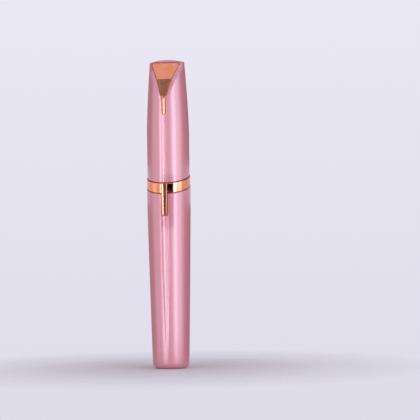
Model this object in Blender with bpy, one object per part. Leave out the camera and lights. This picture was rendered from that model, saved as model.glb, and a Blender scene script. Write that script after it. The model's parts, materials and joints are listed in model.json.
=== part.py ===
"""Pen-shaped electric eyebrow trimmer, modelled as the separate pieces it is assembled from.

It stands on its flat base. +Z runs up the pen's axis, -Y is the front with the switch, +X is the right side
as seen from the front. Every height is stacked up from the base, and every radius outwards from the cell and
the motor, so one changed size carries through to whatever sits on it or around it.
"""

import math

import bmesh
import bpy
from mathutils import Matrix, Vector

for old in list(bpy.data.objects):
    bpy.data.objects.remove(old, do_unlink=True)

MM = 0.001

# Clearances
WELD = 0.001 * MM
CUT_OVERRUN = 1.0 * MM
FIT_GAP = 0.3 * MM
SLIP_GAP = 0.4 * MM
SEAM_GAP = 0.25 * MM
BED_GAP = 0.2 * MM

# How finely the round pieces are turned
SHELL_SIDES = 48
FRAME_SIDES = 32
CORE_SIDES = 24
SMALL_SIDES = 16
WINDOW_STEPS = 10
SLOT_STEPS = 6
LEAF_STEPS = 5
SHORT_STEPS = 3
WIRE_ROUNDING = 1
SMOOTH_BELOW = math.radians(32)

# Cell and its contacts
CELL_RADIUS = 5.25 * MM
CELL_LENGTH = 44.5 * MM
CELL_NUB_RADIUS = 1.9 * MM
CELL_NUB_HEIGHT = 0.8 * MM
CELL_EDGE = 0.4 * MM
SPRING_HEIGHT = 4.2 * MM
SPRING_FOOT_RADIUS = 3.6 * MM
SPRING_HEAD_RADIUS = 2.4 * MM
SPRING_WIRE_RADIUS = 0.25 * MM
SPRING_TURNS = 3.5
SPRING_POINTS_PER_TURN = 12
SHEET_THICKNESS = 0.3 * MM
STRIP_WIDTH = 2.0 * MM
CONTACT_RADIUS = 3.2 * MM
TAB_HEIGHT = 4.0 * MM
TAB_SETBACK = 2.9 * MM

# Cradle
CRADLE_WALL = 0.75 * MM
CRADLE_REST = 1.2 * MM
CRADLE_PLATE = 1.6 * MM
CRADLE_PARTITION = 1.4 * MM
CRADLE_SHELF = 1.2 * MM
SHELF_BORE_RADIUS = 3.2 * MM
CELL_WINDOW_ANGLE = math.radians(62)
BOARD_WINDOW_ANGLE = math.radians(55)

# Cover, the lower half of the casing
COVER_FLOOR = 1.8 * MM
COVER_WALL = 1.2 * MM
COVER_SWELL = 1.6 * MM
COVER_SWELL_POWER = 1.2
COVER_EDGE = 2.1 * MM
COVER_STATIONS = 6
INSIDE_STATIONS = 4
RIM_STATIONS = 3
EDGE_STEPS = 4

# Groove down the front of the casing
GROOVE_DEPTH = 0.35 * MM
GROOVE_FLANK = 0.3 * MM
COVER_GROOVE_WIDTH = 2.3 * MM
COVER_GROOVE_TIP_WIDTH = 0.7 * MM
COVER_GROOVE_START = 6.5 * MM
COVER_GROOVE_RUN = 40.0 * MM
CAP_GROOVE_WIDTH = 1.9 * MM

# Collar, the slanted metal band between the two halves of the casing
COLLAR_HEIGHT = 4.2 * MM
COLLAR_SLANT = math.radians(17.5)
COLLAR_SETBACK = 0.1 * MM
COLLAR_BEVEL = 0.18 * MM
COLLAR_ABOVE_MOTOR_FOOT = 6.5 * MM
SLANT_RUN = 5.5 * MM
SLANT_MARGIN = 3.0 * MM
SLOT_TOP_RIM = 0.45 * MM
SLOT_LOW_RIM = 0.8 * MM

# Switch
SWITCH_TRAVEL = math.radians(14)
STEM_HALF_ANGLE = math.radians(7)
SLOT_END_ANGLE = math.radians(1.5)
POINTER_WIDTH = 2.8 * MM
POINTER_TIP_WIDTH = 2.3 * MM
POINTER_LENGTH = 13.8 * MM
POINTER_THICKNESS = 0.85 * MM
POINTER_TOP_DROP = 0.1 * MM
TIP_STEPS = 4
CARRIAGE_THICKNESS = 0.6 * MM
CARRIAGE_HALF_ANGLE = math.radians(30)
WIPER_HALF_ANGLE = math.radians(9)
WIPER_LENGTH = 6.0 * MM
WIPER_THICKNESS = 0.2 * MM
DETENT_HALF_ANGLE = math.radians(15)
DETENT_HEIGHT = 2.0 * MM

# Circuit board
BOARD_LENGTH = 14.0 * MM
BOARD_WIDTH = 5.2 * MM
BOARD_THICKNESS = 0.8 * MM
BOARD_FRONT = 5.1 * MM
BOARD_HEADROOM = 0.9 * MM
CHIP_WIDTH = 2.2 * MM
CHIP_HEIGHT = 3.0 * MM
CHIP_THICKNESS = 0.9 * MM

# Motor
MOTOR_RADIUS = 5.1 * MM
MOTOR_LENGTH = 16.5 * MM
MOTOR_WALL = 0.45 * MM
END_CAP_HEIGHT = 1.9 * MM
END_CAP_PLUG = 1.0 * MM
MAGNET_THICKNESS = 0.8 * MM
MAGNET_HALF_ANGLE = math.radians(62)
AIR_GAP = 0.35 * MM
CORE_HEIGHT = 7.0 * MM
WINDING_RADIUS = 2.6 * MM
WINDING_HEIGHT = 1.1 * MM
SHAFT_RADIUS = 0.75 * MM
BUSH_WALL = 0.6 * MM
BUSH_HEIGHT = 1.6 * MM
TERMINAL_SPREAD = 2.0 * MM
TERMINAL_WIDTH = 1.2 * MM
TERMINAL_LENGTH = 2.0 * MM
TERMINAL_BACKSET = 0.8 * MM

# Drive from the motor to the cutter
COUPLING_ROOM = 7.2 * MM
COUPLING_WALL = 1.0 * MM
COUPLING_GRIP = 4.2 * MM
STUB_RADIUS = 0.95 * MM
STUB_SIDES = 6

# Neck, the inner casing that carries the collar, the cap and the head
NECK_WALL = 1.2 * MM
NECK_BORE_GAP = 0.35 * MM
SKIRT_HEIGHT = 15.9 * MM
SKIRT_GAP = 0.4 * MM
LIP_HEIGHT = 1.2 * MM
LIP_WALL = 0.9 * MM
NECK_WEB = 1.1 * MM
NECK_FLOOR = 1.2 * MM
SOCKET_DEPTH = 4.6 * MM
SOCKET_RADIUS = 3.6 * MM
SHOULDER_HEIGHT = 6.0 * MM
NECK_RIM = 1.3 * MM
SEAL_BELOW_SHOULDER = 5.0 * MM
SEAL_WIRE_RADIUS = 0.32 * MM
SEAL_GROOVE_DEPTH = 0.65 * MM
SEAL_STEPS = 6
LEAD_GROOVE_DEPTH = 0.7 * MM

# Work light beside the head
LAMP_SETBACK = 0.75 * MM
LAMP_HALF_WIDTH = 1.35 * MM
LAMP_WINDOW_HEIGHT = 3.2 * MM
LED_RADIUS = 1.0 * MM
LED_HEIGHT = 2.6 * MM
LED_PIN_SPREAD = 0.9 * MM
LEAD_RADIUS = 0.28 * MM
LEAD_ANGLES = (math.radians(-38), math.radians(-47))

# Cutting head
SPIGOT_LENGTH = 4.3 * MM
SPIGOT_WALL = 0.9 * MM
FLANGE_HEIGHT = 3.6 * MM
HEAD_RADIUS = 4.6 * MM
HEAD_BEVEL = 0.3 * MM
GUARD_WALL = 0.5 * MM
GUARD_SKIRT = 5.2 * MM
GUARD_DOME = 3.0 * MM
GUARD_SLOTS = 10
GUARD_SLOT_WIDTH = 0.55 * MM
GUARD_HUB_RADIUS = 1.1 * MM
GUARD_SLOT_SKIRT = 1.6 * MM
DOME_STEPS = 5
BARREL_HEIGHT = 2.2 * MM
HEAD_BUSH_WALL = 0.5 * MM
HEAD_BUSH_HEIGHT = 4.6 * MM
HEAD_LIFT_SPARE = 0.9 * MM

# Cutter
STALK_RADIUS = 1.3 * MM
FOOT_RADIUS = 1.9 * MM
FOOT_HEIGHT = 4.4 * MM
FOOT_SOCKET_DEPTH = 4.0 * MM
DISC_RADIUS = 3.3 * MM
DISC_HEIGHT = 1.0 * MM
DISC_LIFT = 0.5 * MM
BLADE_THICKNESS = 0.35 * MM
BLADE_COUNT = 6
BLADE_ROOT_RADIUS = 0.9 * MM
BLADE_CLEARANCE = 0.4 * MM

# Cap
LINER_WALL = 0.5 * MM
LINER_HEIGHT = 15.0 * MM
CAP_WALL = 1.25 * MM
CAP_HEADROOM = 9.0 * MM
CAP_END = 2.9 * MM
CAP_TIP_DROP = 1.75 * MM
CAP_TAPER_LENGTH = 32.0 * MM
CAP_TAPER_POWER = 1.5
CAP_EDGE = 0.4 * MM
CAP_STATIONS = 6
CAP_CROWN_RISE = 1.1 * MM
CAP_CROWN_SLANT = math.radians(4)

# Scoop in the cap's front, and the metal insert that lies in it
INSERT_TOP_DROP = 1.6 * MM
INSERT_TOP_SETBACK = 2.65 * MM
UPPER_FACET_HEIGHT = 6.95 * MM
LOWER_FACET_HEIGHT = 7.4 * MM
CREASE_DEPTH = 1.45 * MM
TIP_DEPTH = 0.3 * MM
INSERT_TOP_HALF_WIDTH = 6.25 * MM
INSERT_CREASE_HALF_WIDTH = 3.2 * MM
INSERT_TIP_HALF_WIDTH = 1.0 * MM
INSERT_CORNER_WIDTH = 1.5 * MM
INSERT_CORNER_HEIGHT = 1.0 * MM
INSERT_THICKNESS = 0.7 * MM
INSERT_BACKING = 0.75 * MM
LAPEL_STEP = 0.12 * MM
LAPEL_TIP_WIDTH = 0.5 * MM
LAPEL_WIDTH = 1.8 * MM
TAIL_LENGTH = 7.9 * MM
TAIL_HALF_WIDTH = 0.72 * MM
TAIL_TIP_HALF_WIDTH = 0.55 * MM
TAIL_THICKNESS = 0.5 * MM
TAIL_SETBACK = 0.1 * MM
FACET_STEPS = 4

# Heights, stacked up from the base
CRADLE_LOW = COVER_FLOOR + CRADLE_REST
PLATE_TOP = CRADLE_LOW + CRADLE_PLATE
FOOT_DISC_LOW = PLATE_TOP + FIT_GAP
SPRING_LOW = FOOT_DISC_LOW + SHEET_THICKNESS + FIT_GAP
CELL_LOW = SPRING_LOW + SPRING_HEIGHT + FIT_GAP
CELL_TOP = CELL_LOW + CELL_LENGTH
CONTACT_LOW = CELL_TOP + FIT_GAP
PARTITION_LOW = CONTACT_LOW + SHEET_THICKNESS + FIT_GAP
PARTITION_TOP = PARTITION_LOW + CRADLE_PARTITION
BOARD_LOW = PARTITION_TOP + FIT_GAP
BOARD_TOP = BOARD_LOW + BOARD_LENGTH
SHELF_LOW = BOARD_TOP + BOARD_HEADROOM
SHELF_TOP = SHELF_LOW + CRADLE_SHELF
MOTOR_LOW = SHELF_TOP + FIT_GAP
MOTOR_TOP = MOTOR_LOW + MOTOR_LENGTH
COLLAR_MIDDLE = MOTOR_LOW + COLLAR_ABOVE_MOTOR_FOOT
COLLAR_LOW = COLLAR_MIDDLE - COLLAR_HEIGHT / 2
COLLAR_TOP = COLLAR_MIDDLE + COLLAR_HEIGHT / 2
SKIRT_LOW = COLLAR_LOW - SKIRT_HEIGHT
LIP_TOP = COLLAR_TOP + LIP_HEIGHT
STEP_HEIGHT = LIP_TOP - NECK_WEB
CRADLE_TOP = COLLAR_TOP - CRADLE_SHELF
CEILING = MOTOR_TOP + COUPLING_ROOM
SOCKET_FLOOR = CEILING + NECK_FLOOR
NECK_TOP = SOCKET_FLOOR + SOCKET_DEPTH
SHOULDER_LOW = NECK_TOP - SHOULDER_HEIGHT
SEAL_HEIGHT = SHOULDER_LOW - SEAL_BELOW_SHOULDER
COVER_TOP = COLLAR_LOW - SEAM_GAP
CAP_RIM = COLLAR_TOP + SEAM_GAP
LINER_LOW = LIP_TOP + FIT_GAP
LINER_TOP = LINER_LOW + LINER_HEIGHT
FLANGE_LOW = NECK_TOP + SEAM_GAP
FLANGE_TOP = FLANGE_LOW + FLANGE_HEIGHT
BARREL_TOP = FLANGE_TOP + BARREL_HEIGHT
GUARD_LOW = FLANGE_TOP + SEAM_GAP
DOME_LOW = GUARD_LOW + GUARD_SKIRT
HEAD_TOP = DOME_LOW + GUARD_DOME
SPIGOT_LOW = FLANGE_LOW - SPIGOT_LENGTH
DISC_LOW = BARREL_TOP + DISC_LIFT
DISC_TOP = DISC_LOW + DISC_HEIGHT
CARRIER_LOW = SPIGOT_LOW + FIT_GAP
HEAD_LIFT = SPIGOT_LENGTH + HEAD_LIFT_SPARE
PEN_TOP = HEAD_TOP + HEAD_LIFT + CAP_HEADROOM + CAP_END
CAP_TAPER_START = PEN_TOP - CAP_TAPER_LENGTH
INSERT_TOP = PEN_TOP - INSERT_TOP_DROP
CREASE_HEIGHT = INSERT_TOP - UPPER_FACET_HEIGHT
INSERT_TIP = CREASE_HEIGHT - LOWER_FACET_HEIGHT
TAIL_END = INSERT_TIP - TAIL_LENGTH

# Radii, outwards from the cell and the motor
CRADLE_INNER = CELL_RADIUS + FIT_GAP
CRADLE_OUTER = CRADLE_INNER + CRADLE_WALL
COVER_BASE_RADIUS = CRADLE_OUTER + FIT_GAP + COVER_WALL
COVER_RADIUS = COVER_BASE_RADIUS + COVER_SWELL
SKIRT_RADIUS = COVER_RADIUS - COVER_WALL - SKIRT_GAP
COLLAR_RADIUS = COVER_RADIUS - COLLAR_SETBACK
NECK_BORE = MOTOR_RADIUS + NECK_BORE_GAP
NECK_RADIUS = NECK_BORE + NECK_WALL
LINER_INNER = NECK_RADIUS + SLIP_GAP
LINER_OUTER = LINER_INNER + LINER_WALL
CAP_INNER = LINER_OUTER + SEAM_GAP
CAP_RADIUS = CAP_INNER + CAP_WALL
LIP_RADIUS = CAP_INNER - FIT_GAP
COLLAR_INNER = LIP_RADIUS + FIT_GAP
SKIRT_BORE = LIP_RADIUS - LIP_WALL
CARRIAGE_OUTER = SKIRT_BORE - SEAM_GAP
CARRIAGE_INNER = CARRIAGE_OUTER - CARRIAGE_THICKNESS
WIPER_OUTER = CARRIAGE_INNER + WIPER_THICKNESS
NECK_RIM_RADIUS = SOCKET_RADIUS + NECK_RIM
SPIGOT_RADIUS = SOCKET_RADIUS - FIT_GAP
SPIGOT_BORE = SPIGOT_RADIUS - SPIGOT_WALL
COUPLING_RADIUS = SHAFT_RADIUS + SEAM_GAP + COUPLING_WALL
FLOOR_HOLE_RADIUS = STUB_RADIUS + 2 * FIT_GAP
GUARD_INNER = HEAD_RADIUS - GUARD_WALL
BARREL_RADIUS = GUARD_INNER - SEAM_GAP
POINTER_SEAT = COVER_RADIUS + SEAM_GAP


def finish(name, red, green, blue, roughness, metallic):
    """A plain material with its linear colour, roughness and metallic value."""
    made = bpy.data.materials.new(name)
    made.use_nodes = True
    shader = made.node_tree.nodes["Principled BSDF"]
    shader.inputs["Base Color"].default_value = (red, green, blue, 1)
    shader.inputs["Roughness"].default_value = roughness
    shader.inputs["Metallic"].default_value = metallic
    return made


LACQUER = finish("rose_lacquer", 0.60, 0.25, 0.32, 0.32, 0.6)
GOLD = finish("rose_gold_plate", 0.85, 0.42, 0.25, 0.16, 1)
NECK_PLASTIC = finish("pale_rose_abs", 0.76, 0.52, 0.52, 0.4, 0)
BLACK_PLASTIC = finish("black_acetal", 0.012, 0.012, 0.013, 0.45, 0)
WHITE_PLASTIC = finish("white_abs", 0.78, 0.78, 0.76, 0.45, 0)
CLEAR_PLASTIC = finish("clear_lens", 0.86, 0.88, 0.9, 0.1, 0)
LED_RESIN = finish("led_resin", 0.86, 0.82, 0.5, 0.2, 0)
STEEL = finish("cutter_steel", 0.62, 0.62, 0.63, 0.22, 1)
NICKEL = finish("nickel_plate", 0.66, 0.63, 0.58, 0.28, 1)
BRASS = finish("sintered_bronze", 0.62, 0.42, 0.2, 0.4, 1)
MOTOR_STEEL = finish("zinc_plated_can", 0.56, 0.57, 0.58, 0.34, 1)
FERRITE = finish("ferrite", 0.035, 0.035, 0.038, 0.6, 0)
COPPER = finish("enamelled_copper", 0.55, 0.2, 0.08, 0.35, 1)
BOARD_GREEN = finish("board_laminate", 0.03, 0.18, 0.07, 0.4, 0)
CELL_WRAP = finish("cell_wrap", 0.08, 0.1, 0.16, 0.3, 0)
RUBBER = finish("silicone_rubber", 0.05, 0.05, 0.05, 0.6, 0)
WIRE_RED = finish("wire_insulation", 0.5, 0.02, 0.02, 0.5, 0)


def group(name, height=0.0):
    """An empty on the pen's axis that the pieces of one moving group hang from."""
    holder = bpy.data.objects.new(name, None)
    holder.location = (0, 0, height)
    holder.empty_display_size = CAP_RADIUS
    bpy.context.collection.objects.link(holder)
    return holder


CORE = group("core_frame")
CAP_SLIDE = group("cap_slide", CAP_RIM)
COVER_SLIDE = group("cover_slide")
SWITCH_PIVOT = group("switch_pivot", COLLAR_MIDDLE)
ROTOR_AXIS = group("rotor_axis", MOTOR_LOW)
HEAD_SLIDE = group("head_slide", FLANGE_LOW)
CUTTER_AXIS = group("cutter_axis", CARRIER_LOW)


def add(name, shape, material, holder):
    """Makes a bmesh an object, with its faces out and its round sides smooth, hung from its group."""
    bmesh.ops.recalc_face_normals(shape, faces=shape.faces)
    mesh = bpy.data.meshes.new(name)
    shape.to_mesh(mesh)
    shape.free()
    mesh.shade_smooth()
    mesh.set_sharp_from_angle(angle=SMOOTH_BELOW)
    made = bpy.data.objects.new(name, mesh)
    bpy.context.collection.objects.link(made)
    made.data.materials.append(material)
    made.parent = holder
    made.location = -holder.location
    return made


def cutter(name, shape, holder):
    """A helper shape that is only there to be cut away or joined on."""
    made = add(name, shape, BLACK_PLASTIC, holder)
    made.hide_render = True
    made.display_type = "WIRE"
    return made


def boolean(target, tool, operation="DIFFERENCE"):
    """Cuts the tool from the target, or joins it on."""
    step = target.modifiers.new(tool.name, "BOOLEAN")
    step.operation = operation
    step.solver = "EXACT"
    step.object = tool


def cut(target, name, shape):
    """Cuts a helper shape out of the target."""
    boolean(target, cutter(name, shape, target.parent))


def join(target, name, shape):
    """Joins a helper shape to the target, which stays one body."""
    boolean(target, cutter(name, shape, target.parent), "UNION")


def turned(outline, sides):
    """Turns an outline of (radius, height) points about the pen's axis."""
    shape = bmesh.new()
    points = [shape.verts.new((radius, 0, height)) for radius, height in outline]
    edges = [shape.edges.new(pair) for pair in zip(points, points[1:])]
    if all(radius > 0 for radius, height in outline):
        edges.append(shape.edges.new((points[-1], points[0])))
    bmesh.ops.spin(
        shape, geom=points + edges, cent=(0, 0, 0), axis=(0, 0, 1), angle=math.tau, steps=sides, use_merge=True
    )
    bmesh.ops.remove_doubles(shape, verts=shape.verts, dist=WELD)
    return shape


def tube(inner, outer, low, high, sides):
    """A plain ring between two radii and two heights."""
    return turned([(inner, low), (outer, low), (outer, high), (inner, high)], sides)


def disc(radius, low, high, sides):
    """A plain round disc or rod on the axis."""
    return turned([(0, low), (radius, low), (radius, high), (0, high)], sides)


def sector(inner, outer, low, high, start, end, steps):
    """A block bent round the axis, between two angles counted from the front towards the right."""
    shape = bmesh.new()
    corners = [(inner, low), (outer, low), (outer, high), (inner, high)]
    points = [shape.verts.new((r * math.sin(start), -r * math.cos(start), z)) for r, z in corners]
    face = shape.faces.new(points)
    bmesh.ops.spin(
        shape, geom=[face, *face.edges, *points], cent=(0, 0, 0), axis=(0, 0, 1), angle=end - start, steps=steps
    )
    return shape


def block(low, high):
    """A box between two corners."""
    shape = bmesh.new()
    bmesh.ops.create_cube(shape, size=1)
    centre = (Vector(low) + Vector(high)) / 2
    size = Vector(high) - Vector(low)
    place = Matrix.Translation(centre) @ Matrix.Diagonal((*size, 1))
    bmesh.ops.transform(shape, matrix=place, verts=shape.verts)
    return shape


def lofted(sections):
    """Joins outlines of equal point counts, one after the other, into one closed body."""
    shape = bmesh.new()
    loops = [[shape.verts.new(point) for point in section] for section in sections]
    for lower, upper in zip(loops, loops[1:]):
        for index in range(len(lower)):
            after = (index + 1) % len(lower)
            shape.faces.new((lower[index], lower[after], upper[after], upper[index]))
    shape.faces.new(loops[0])
    shape.faces.new(loops[-1])
    return shape


def merged(*shapes):
    """Puts separate solids into one shape, which stay separate bodies."""
    first = shapes[0]
    for other in shapes[1:]:
        mesh = bpy.data.meshes.new("part")
        other.to_mesh(mesh)
        other.free()
        first.from_mesh(mesh)
        bpy.data.meshes.remove(mesh)
    return first


def wire(name, run, radius, material, holder):
    """A round wire along a run of points."""
    curve = bpy.data.curves.new(name, "CURVE")
    curve.dimensions = "3D"
    curve.bevel_depth = radius
    curve.bevel_resolution = WIRE_ROUNDING
    curve.use_fill_caps = True
    spline = curve.splines.new("POLY")
    spline.points.add(len(run) - 1)
    for point, place in zip(spline.points, run):
        point.co = (*place, 1)
    made = bpy.data.objects.new(name, curve)
    bpy.context.collection.objects.link(made)
    curve.materials.append(material)
    made.parent = holder
    made.location = -holder.location
    return made


def slant_weight(height):
    """How much of the collar's slant a height takes: all of it round the collar, fading out above and below."""
    beyond = max(COLLAR_LOW - SLANT_MARGIN - height, height - COLLAR_TOP - SLANT_MARGIN, 0)
    return max(0, 1 - beyond / SLANT_RUN)


def slanted(shape):
    """Leans a shape's heights into the collar's slanted plane, low at the front and high at the back."""
    for vert in shape.verts:
        vert.co.z += math.tan(COLLAR_SLANT) * vert.co.y * slant_weight(vert.co.z)
    return shape


def spread(low, high, steps):
    """Evenly spaced values from low to high, both included."""
    return [low + (high - low) * step / steps for step in range(steps + 1)]


def cover_radius(height):
    """Outer radius of the cover: narrow at the base, fullest just under the collar."""
    left = max(0, 1 - height / COVER_TOP)
    return COVER_RADIUS - COVER_SWELL * left**COVER_SWELL_POWER


def cap_radius(height):
    """Outer radius of the cap: straight above the collar, then drawn in towards the top."""
    share = max(0, (height - CAP_TAPER_START) / CAP_TAPER_LENGTH)
    return CAP_RADIUS - CAP_TIP_DROP * share**CAP_TAPER_POWER


def front_height(height, radius):
    """Height that a slanted plane reaches at the pen's front, at this distance from the axis."""
    return height - math.tan(COLLAR_SLANT) * radius


def facet_front(height):
    """Distance from the axis to the insert's face: a steep lower facet, then one that leans back to the top."""
    crease = cap_radius(CREASE_HEIGHT) - CREASE_DEPTH
    if height >= CREASE_HEIGHT:
        share = (height - CREASE_HEIGHT) / UPPER_FACET_HEIGHT
        return crease + (INSERT_TOP_SETBACK - crease) * share
    tip = cap_radius(INSERT_TIP) - TIP_DEPTH
    share = (height - INSERT_TIP) / LOWER_FACET_HEIGHT
    return tip + (crease - tip) * share


def insert_half_width(height):
    """Half the insert's width: its straight sides open from the tip, and a little more above the crease."""
    if height >= CREASE_HEIGHT:
        share = min(1, (height - CREASE_HEIGHT) / UPPER_FACET_HEIGHT)
        return INSERT_CREASE_HALF_WIDTH + (INSERT_TOP_HALF_WIDTH - INSERT_CREASE_HALF_WIDTH) * share
    share = max(0, (height - INSERT_TIP) / LOWER_FACET_HEIGHT)
    return INSERT_TIP_HALF_WIDTH + (INSERT_CREASE_HALF_WIDTH - INSERT_TIP_HALF_WIDTH) * share


def lapel_width(height):
    """Width of the sloped lapel beside the insert, full from the crease upwards."""
    share = min(1, max(0, (height - INSERT_TIP) / LOWER_FACET_HEIGHT))
    return LAPEL_TIP_WIDTH + (LAPEL_WIDTH - LAPEL_TIP_WIDTH) * share


def strip_section(half_width, front, back, height):
    """A rectangle across the pen's front at one height."""
    return [
        (-half_width, -back, height),
        (half_width, -back, height),
        (half_width, -front, height),
        (-half_width, -front, height),
    ]


def groove(stations, radius_at, width_at, depth_at):
    """A shallow cutter with sloped flanks that follows the casing's front line."""
    sections = []
    for height in stations:
        radius = radius_at(height)
        outside = radius + CUT_OVERRUN
        floor = radius - depth_at(height)
        half = width_at(height) / 2
        flank = half + GROOVE_FLANK * (1 + CUT_OVERRUN / GROOVE_DEPTH)
        sections.append([
            (-half, -floor, height),
            (half, -floor, height),
            (flank, -outside, height),
            (-flank, -outside, height),
        ])
    return lofted(sections)


def build_cover():
    """The lower half of the casing: a tapering cup whose rim follows the collar's slant."""
    flat = COVER_BASE_RADIUS - COVER_EDGE
    edge_centre = cover_radius(COVER_EDGE) - COVER_EDGE
    outline = [(0, 0), (flat, 0)]
    for angle in spread(0, math.pi / 2, EDGE_STEPS)[1:]:
        outline.append((edge_centre + COVER_EDGE * math.sin(angle), COVER_EDGE * (1 - math.cos(angle))))
    stations = spread(COVER_EDGE, SKIRT_LOW, COVER_STATIONS)[1:]
    stations += spread(SKIRT_LOW, COVER_TOP, RIM_STATIONS)[1:]
    outline += [(cover_radius(height), height) for height in stations]
    inner_floor = COVER_FLOOR + COVER_WALL
    inside = spread(COVER_TOP, inner_floor, INSIDE_STATIONS)
    outline += [(cover_radius(height) - COVER_WALL, height) for height in inside]
    outline += [(cover_radius(inner_floor) - 2 * COVER_WALL, COVER_FLOOR), (0, COVER_FLOOR)]
    cover = add("body_cover", slanted(turned(outline, SHELL_SIDES)), LACQUER, COVER_SLIDE)

    def share(height):
        return min(1, (height - COVER_GROOVE_START) / COVER_GROOVE_RUN)

    run = spread(COVER_GROOVE_START, COVER_TOP + CUT_OVERRUN, COVER_STATIONS)
    cut(cover, "cover_groove", groove(
        run,
        cover_radius,
        lambda z: COVER_GROOVE_TIP_WIDTH + (COVER_GROOVE_WIDTH - COVER_GROOVE_TIP_WIDTH) * share(z),
        lambda z: GROOVE_DEPTH * share(z),
    ))


def build_cap():
    """The cap: a drawn-in shell with a slanted rim, a groove and a scoop that takes the metal insert."""
    side_top = PEN_TOP - CAP_CROWN_RISE - CAP_EDGE
    flat = cap_radius(side_top) - CAP_EDGE
    crown = [(share * flat, PEN_TOP - CAP_CROWN_RISE * share**2) for share in spread(0, 1, EDGE_STEPS)]
    edge = [
        (flat + CAP_EDGE * math.sin(a), side_top + CAP_EDGE * math.cos(a))
        for a in spread(0, math.pi / 2, EDGE_STEPS)[1:]
    ]
    stations = spread(side_top, CAP_TAPER_START, CAP_STATIONS)[1:] + [CAP_RIM]
    outline = crown + edge + [(cap_radius(height), height) for height in stations] + [(0, CAP_RIM)]
    cap = add("cap_shell", crowned(slanted(turned(outline, SHELL_SIDES))), LACQUER, CAP_SLIDE)

    ceiling = PEN_TOP - CAP_END
    inside = [(0, ceiling)] + [
        (cap_radius(height) - CAP_WALL, height) for height in spread(ceiling, CAP_TAPER_START, INSIDE_STATIONS)
    ]
    inside += [(CAP_INNER, CAP_RIM), (CAP_INNER, CAP_RIM - CUT_OVERRUN), (0, CAP_RIM - CUT_OVERRUN)]
    hollow = slanted(turned(inside, SHELL_SIDES))
    backing = INSERT_THICKNESS + BED_GAP + INSERT_BACKING
    for low, high in ((INSERT_TIP, CREASE_HEIGHT), (CREASE_HEIGHT, INSERT_TOP)):
        start = Vector((0, -facet_front(low + WELD), low))
        end = Vector((0, -facet_front(high - WELD), high))
        outward = (end - start).cross(Vector((1, 0, 0))).normalized()
        outward *= -1 if outward.y > 0 else 1
        trimmed = bmesh.ops.bisect_plane(
            hollow, geom=[*hollow.verts, *hollow.edges, *hollow.faces],
            plane_co=start - outward * backing, plane_no=outward, clear_outer=True,
        )
        rim = [edge for edge in trimmed["geom_cut"] if isinstance(edge, bmesh.types.BMEdge)]
        bmesh.ops.contextual_create(hollow, geom=rim)
    cut(cap, "cap_hollow", hollow)

    run = spread(front_height(CAP_RIM, CAP_RADIUS) - CUT_OVERRUN, INSERT_TIP + CUT_OVERRUN, CAP_STATIONS)
    cut(cap, "cap_groove", groove(run, cap_radius, lambda z: CAP_GROOVE_WIDTH, lambda z: GROOVE_DEPTH))
    cut(cap, "insert_scoop", scoop_shape())
    cut(cap, "insert_pocket", insert_shape(BED_GAP))
    cut(cap, "tail_pocket", tail_shape(BED_GAP))


def crowned(shape):
    """Tilts the cap's domed end down towards the front, and leaves its side alone."""
    low = PEN_TOP - CAP_CROWN_RISE - CAP_EDGE - WELD
    for vert in shape.verts:
        if vert.co.z > low:
            vert.co.z += math.tan(CAP_CROWN_SLANT) * vert.co.y
    return shape


def facet_heights():
    """Heights at which the insert's outline is drawn, tip to top, closest together at its arched end."""
    arch = INSERT_TOP - INSERT_CORNER_HEIGHT
    lower = spread(INSERT_TIP, CREASE_HEIGHT, FACET_STEPS)
    upper = spread(CREASE_HEIGHT, arch, FACET_STEPS)[1:]
    corner = [arch + INSERT_CORNER_HEIGHT * math.sin(a) for a in spread(0, math.pi / 2, FACET_STEPS)[1:]]
    return lower + upper + corner


def insert_shape(grown=0.0):
    """The insert's faceted plate, or its pocket when grown by a gap."""
    sections = []
    for height in facet_heights():
        half = insert_half_width(height)
        past = 1 - (INSERT_TOP - height) / INSERT_CORNER_HEIGHT
        if past > 0:
            half -= INSERT_CORNER_WIDTH * (1 - math.sqrt(max(0, 1 - past**2)))
        front = facet_front(height)
        back = front - INSERT_THICKNESS - grown
        if grown:
            front += CUT_OVERRUN
        at = height
        if grown and height == INSERT_TIP:
            at -= grown
        if grown and height == facet_heights()[-1]:
            at += grown
        sections.append(strip_section(half + grown, back, front, at))
    return lofted(sections)


def tail_shape(grown=0.0):
    """The thin strip that runs on down the groove from the insert's tip, or its pocket."""
    sections = []
    low = TAIL_END - grown
    high = INSERT_TIP + INSERT_THICKNESS
    for step, height in enumerate(spread(low, high, FACET_STEPS)):
        half = TAIL_TIP_HALF_WIDTH + (TAIL_HALF_WIDTH - TAIL_TIP_HALF_WIDTH) * step / FACET_STEPS
        front = cap_radius(height) - TIP_DEPTH - TAIL_SETBACK
        back = front - TAIL_THICKNESS - grown
        if grown:
            front += CUT_OVERRUN
        sections.append(strip_section(half + grown, back, front, height))
    return lofted(sections)


def scoop_shape():
    """The hollow in front of the insert, with a small step, sloped lapels and an open top."""
    sections = []
    heights = facet_heights()[: 2 * FACET_STEPS + 1] + [PEN_TOP + CUT_OVERRUN]
    for height in heights:
        radius = cap_radius(min(height, PEN_TOP))
        narrow = insert_half_width(height) + BED_GAP
        wide = min(narrow + lapel_width(height), radius - BED_GAP)
        back = facet_front(height)
        step = back + LAPEL_STEP
        edge = math.sqrt(radius**2 - wide**2)
        slope = (edge - step) / (wide - narrow)
        past = wide + CUT_OVERRUN
        half_section = [(narrow, back), (narrow, step), (past, step + slope * (past - narrow)),
                        (past, radius + 2 * CUT_OVERRUN)]
        sections.append([(x, -y, height) for x, y in half_section]
                        + [(-x, -y, height) for x, y in reversed(half_section)])
    return lofted(sections)


def build_insert():
    """The two-facet metal insert with its tail, one plated piece."""
    insert = add("cap_insert", insert_shape(), GOLD, CAP_SLIDE)
    join(insert, "insert_tail", tail_shape())


def build_liner():
    """The sleeve inside the cap that grips the seal ring on the neck."""
    shape = slanted(tube(LINER_INNER, LINER_OUTER, LINER_LOW, LINER_TOP, FRAME_SIDES))
    add("cap_liner", shape, WHITE_PLASTIC, CAP_SLIDE)


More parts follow.
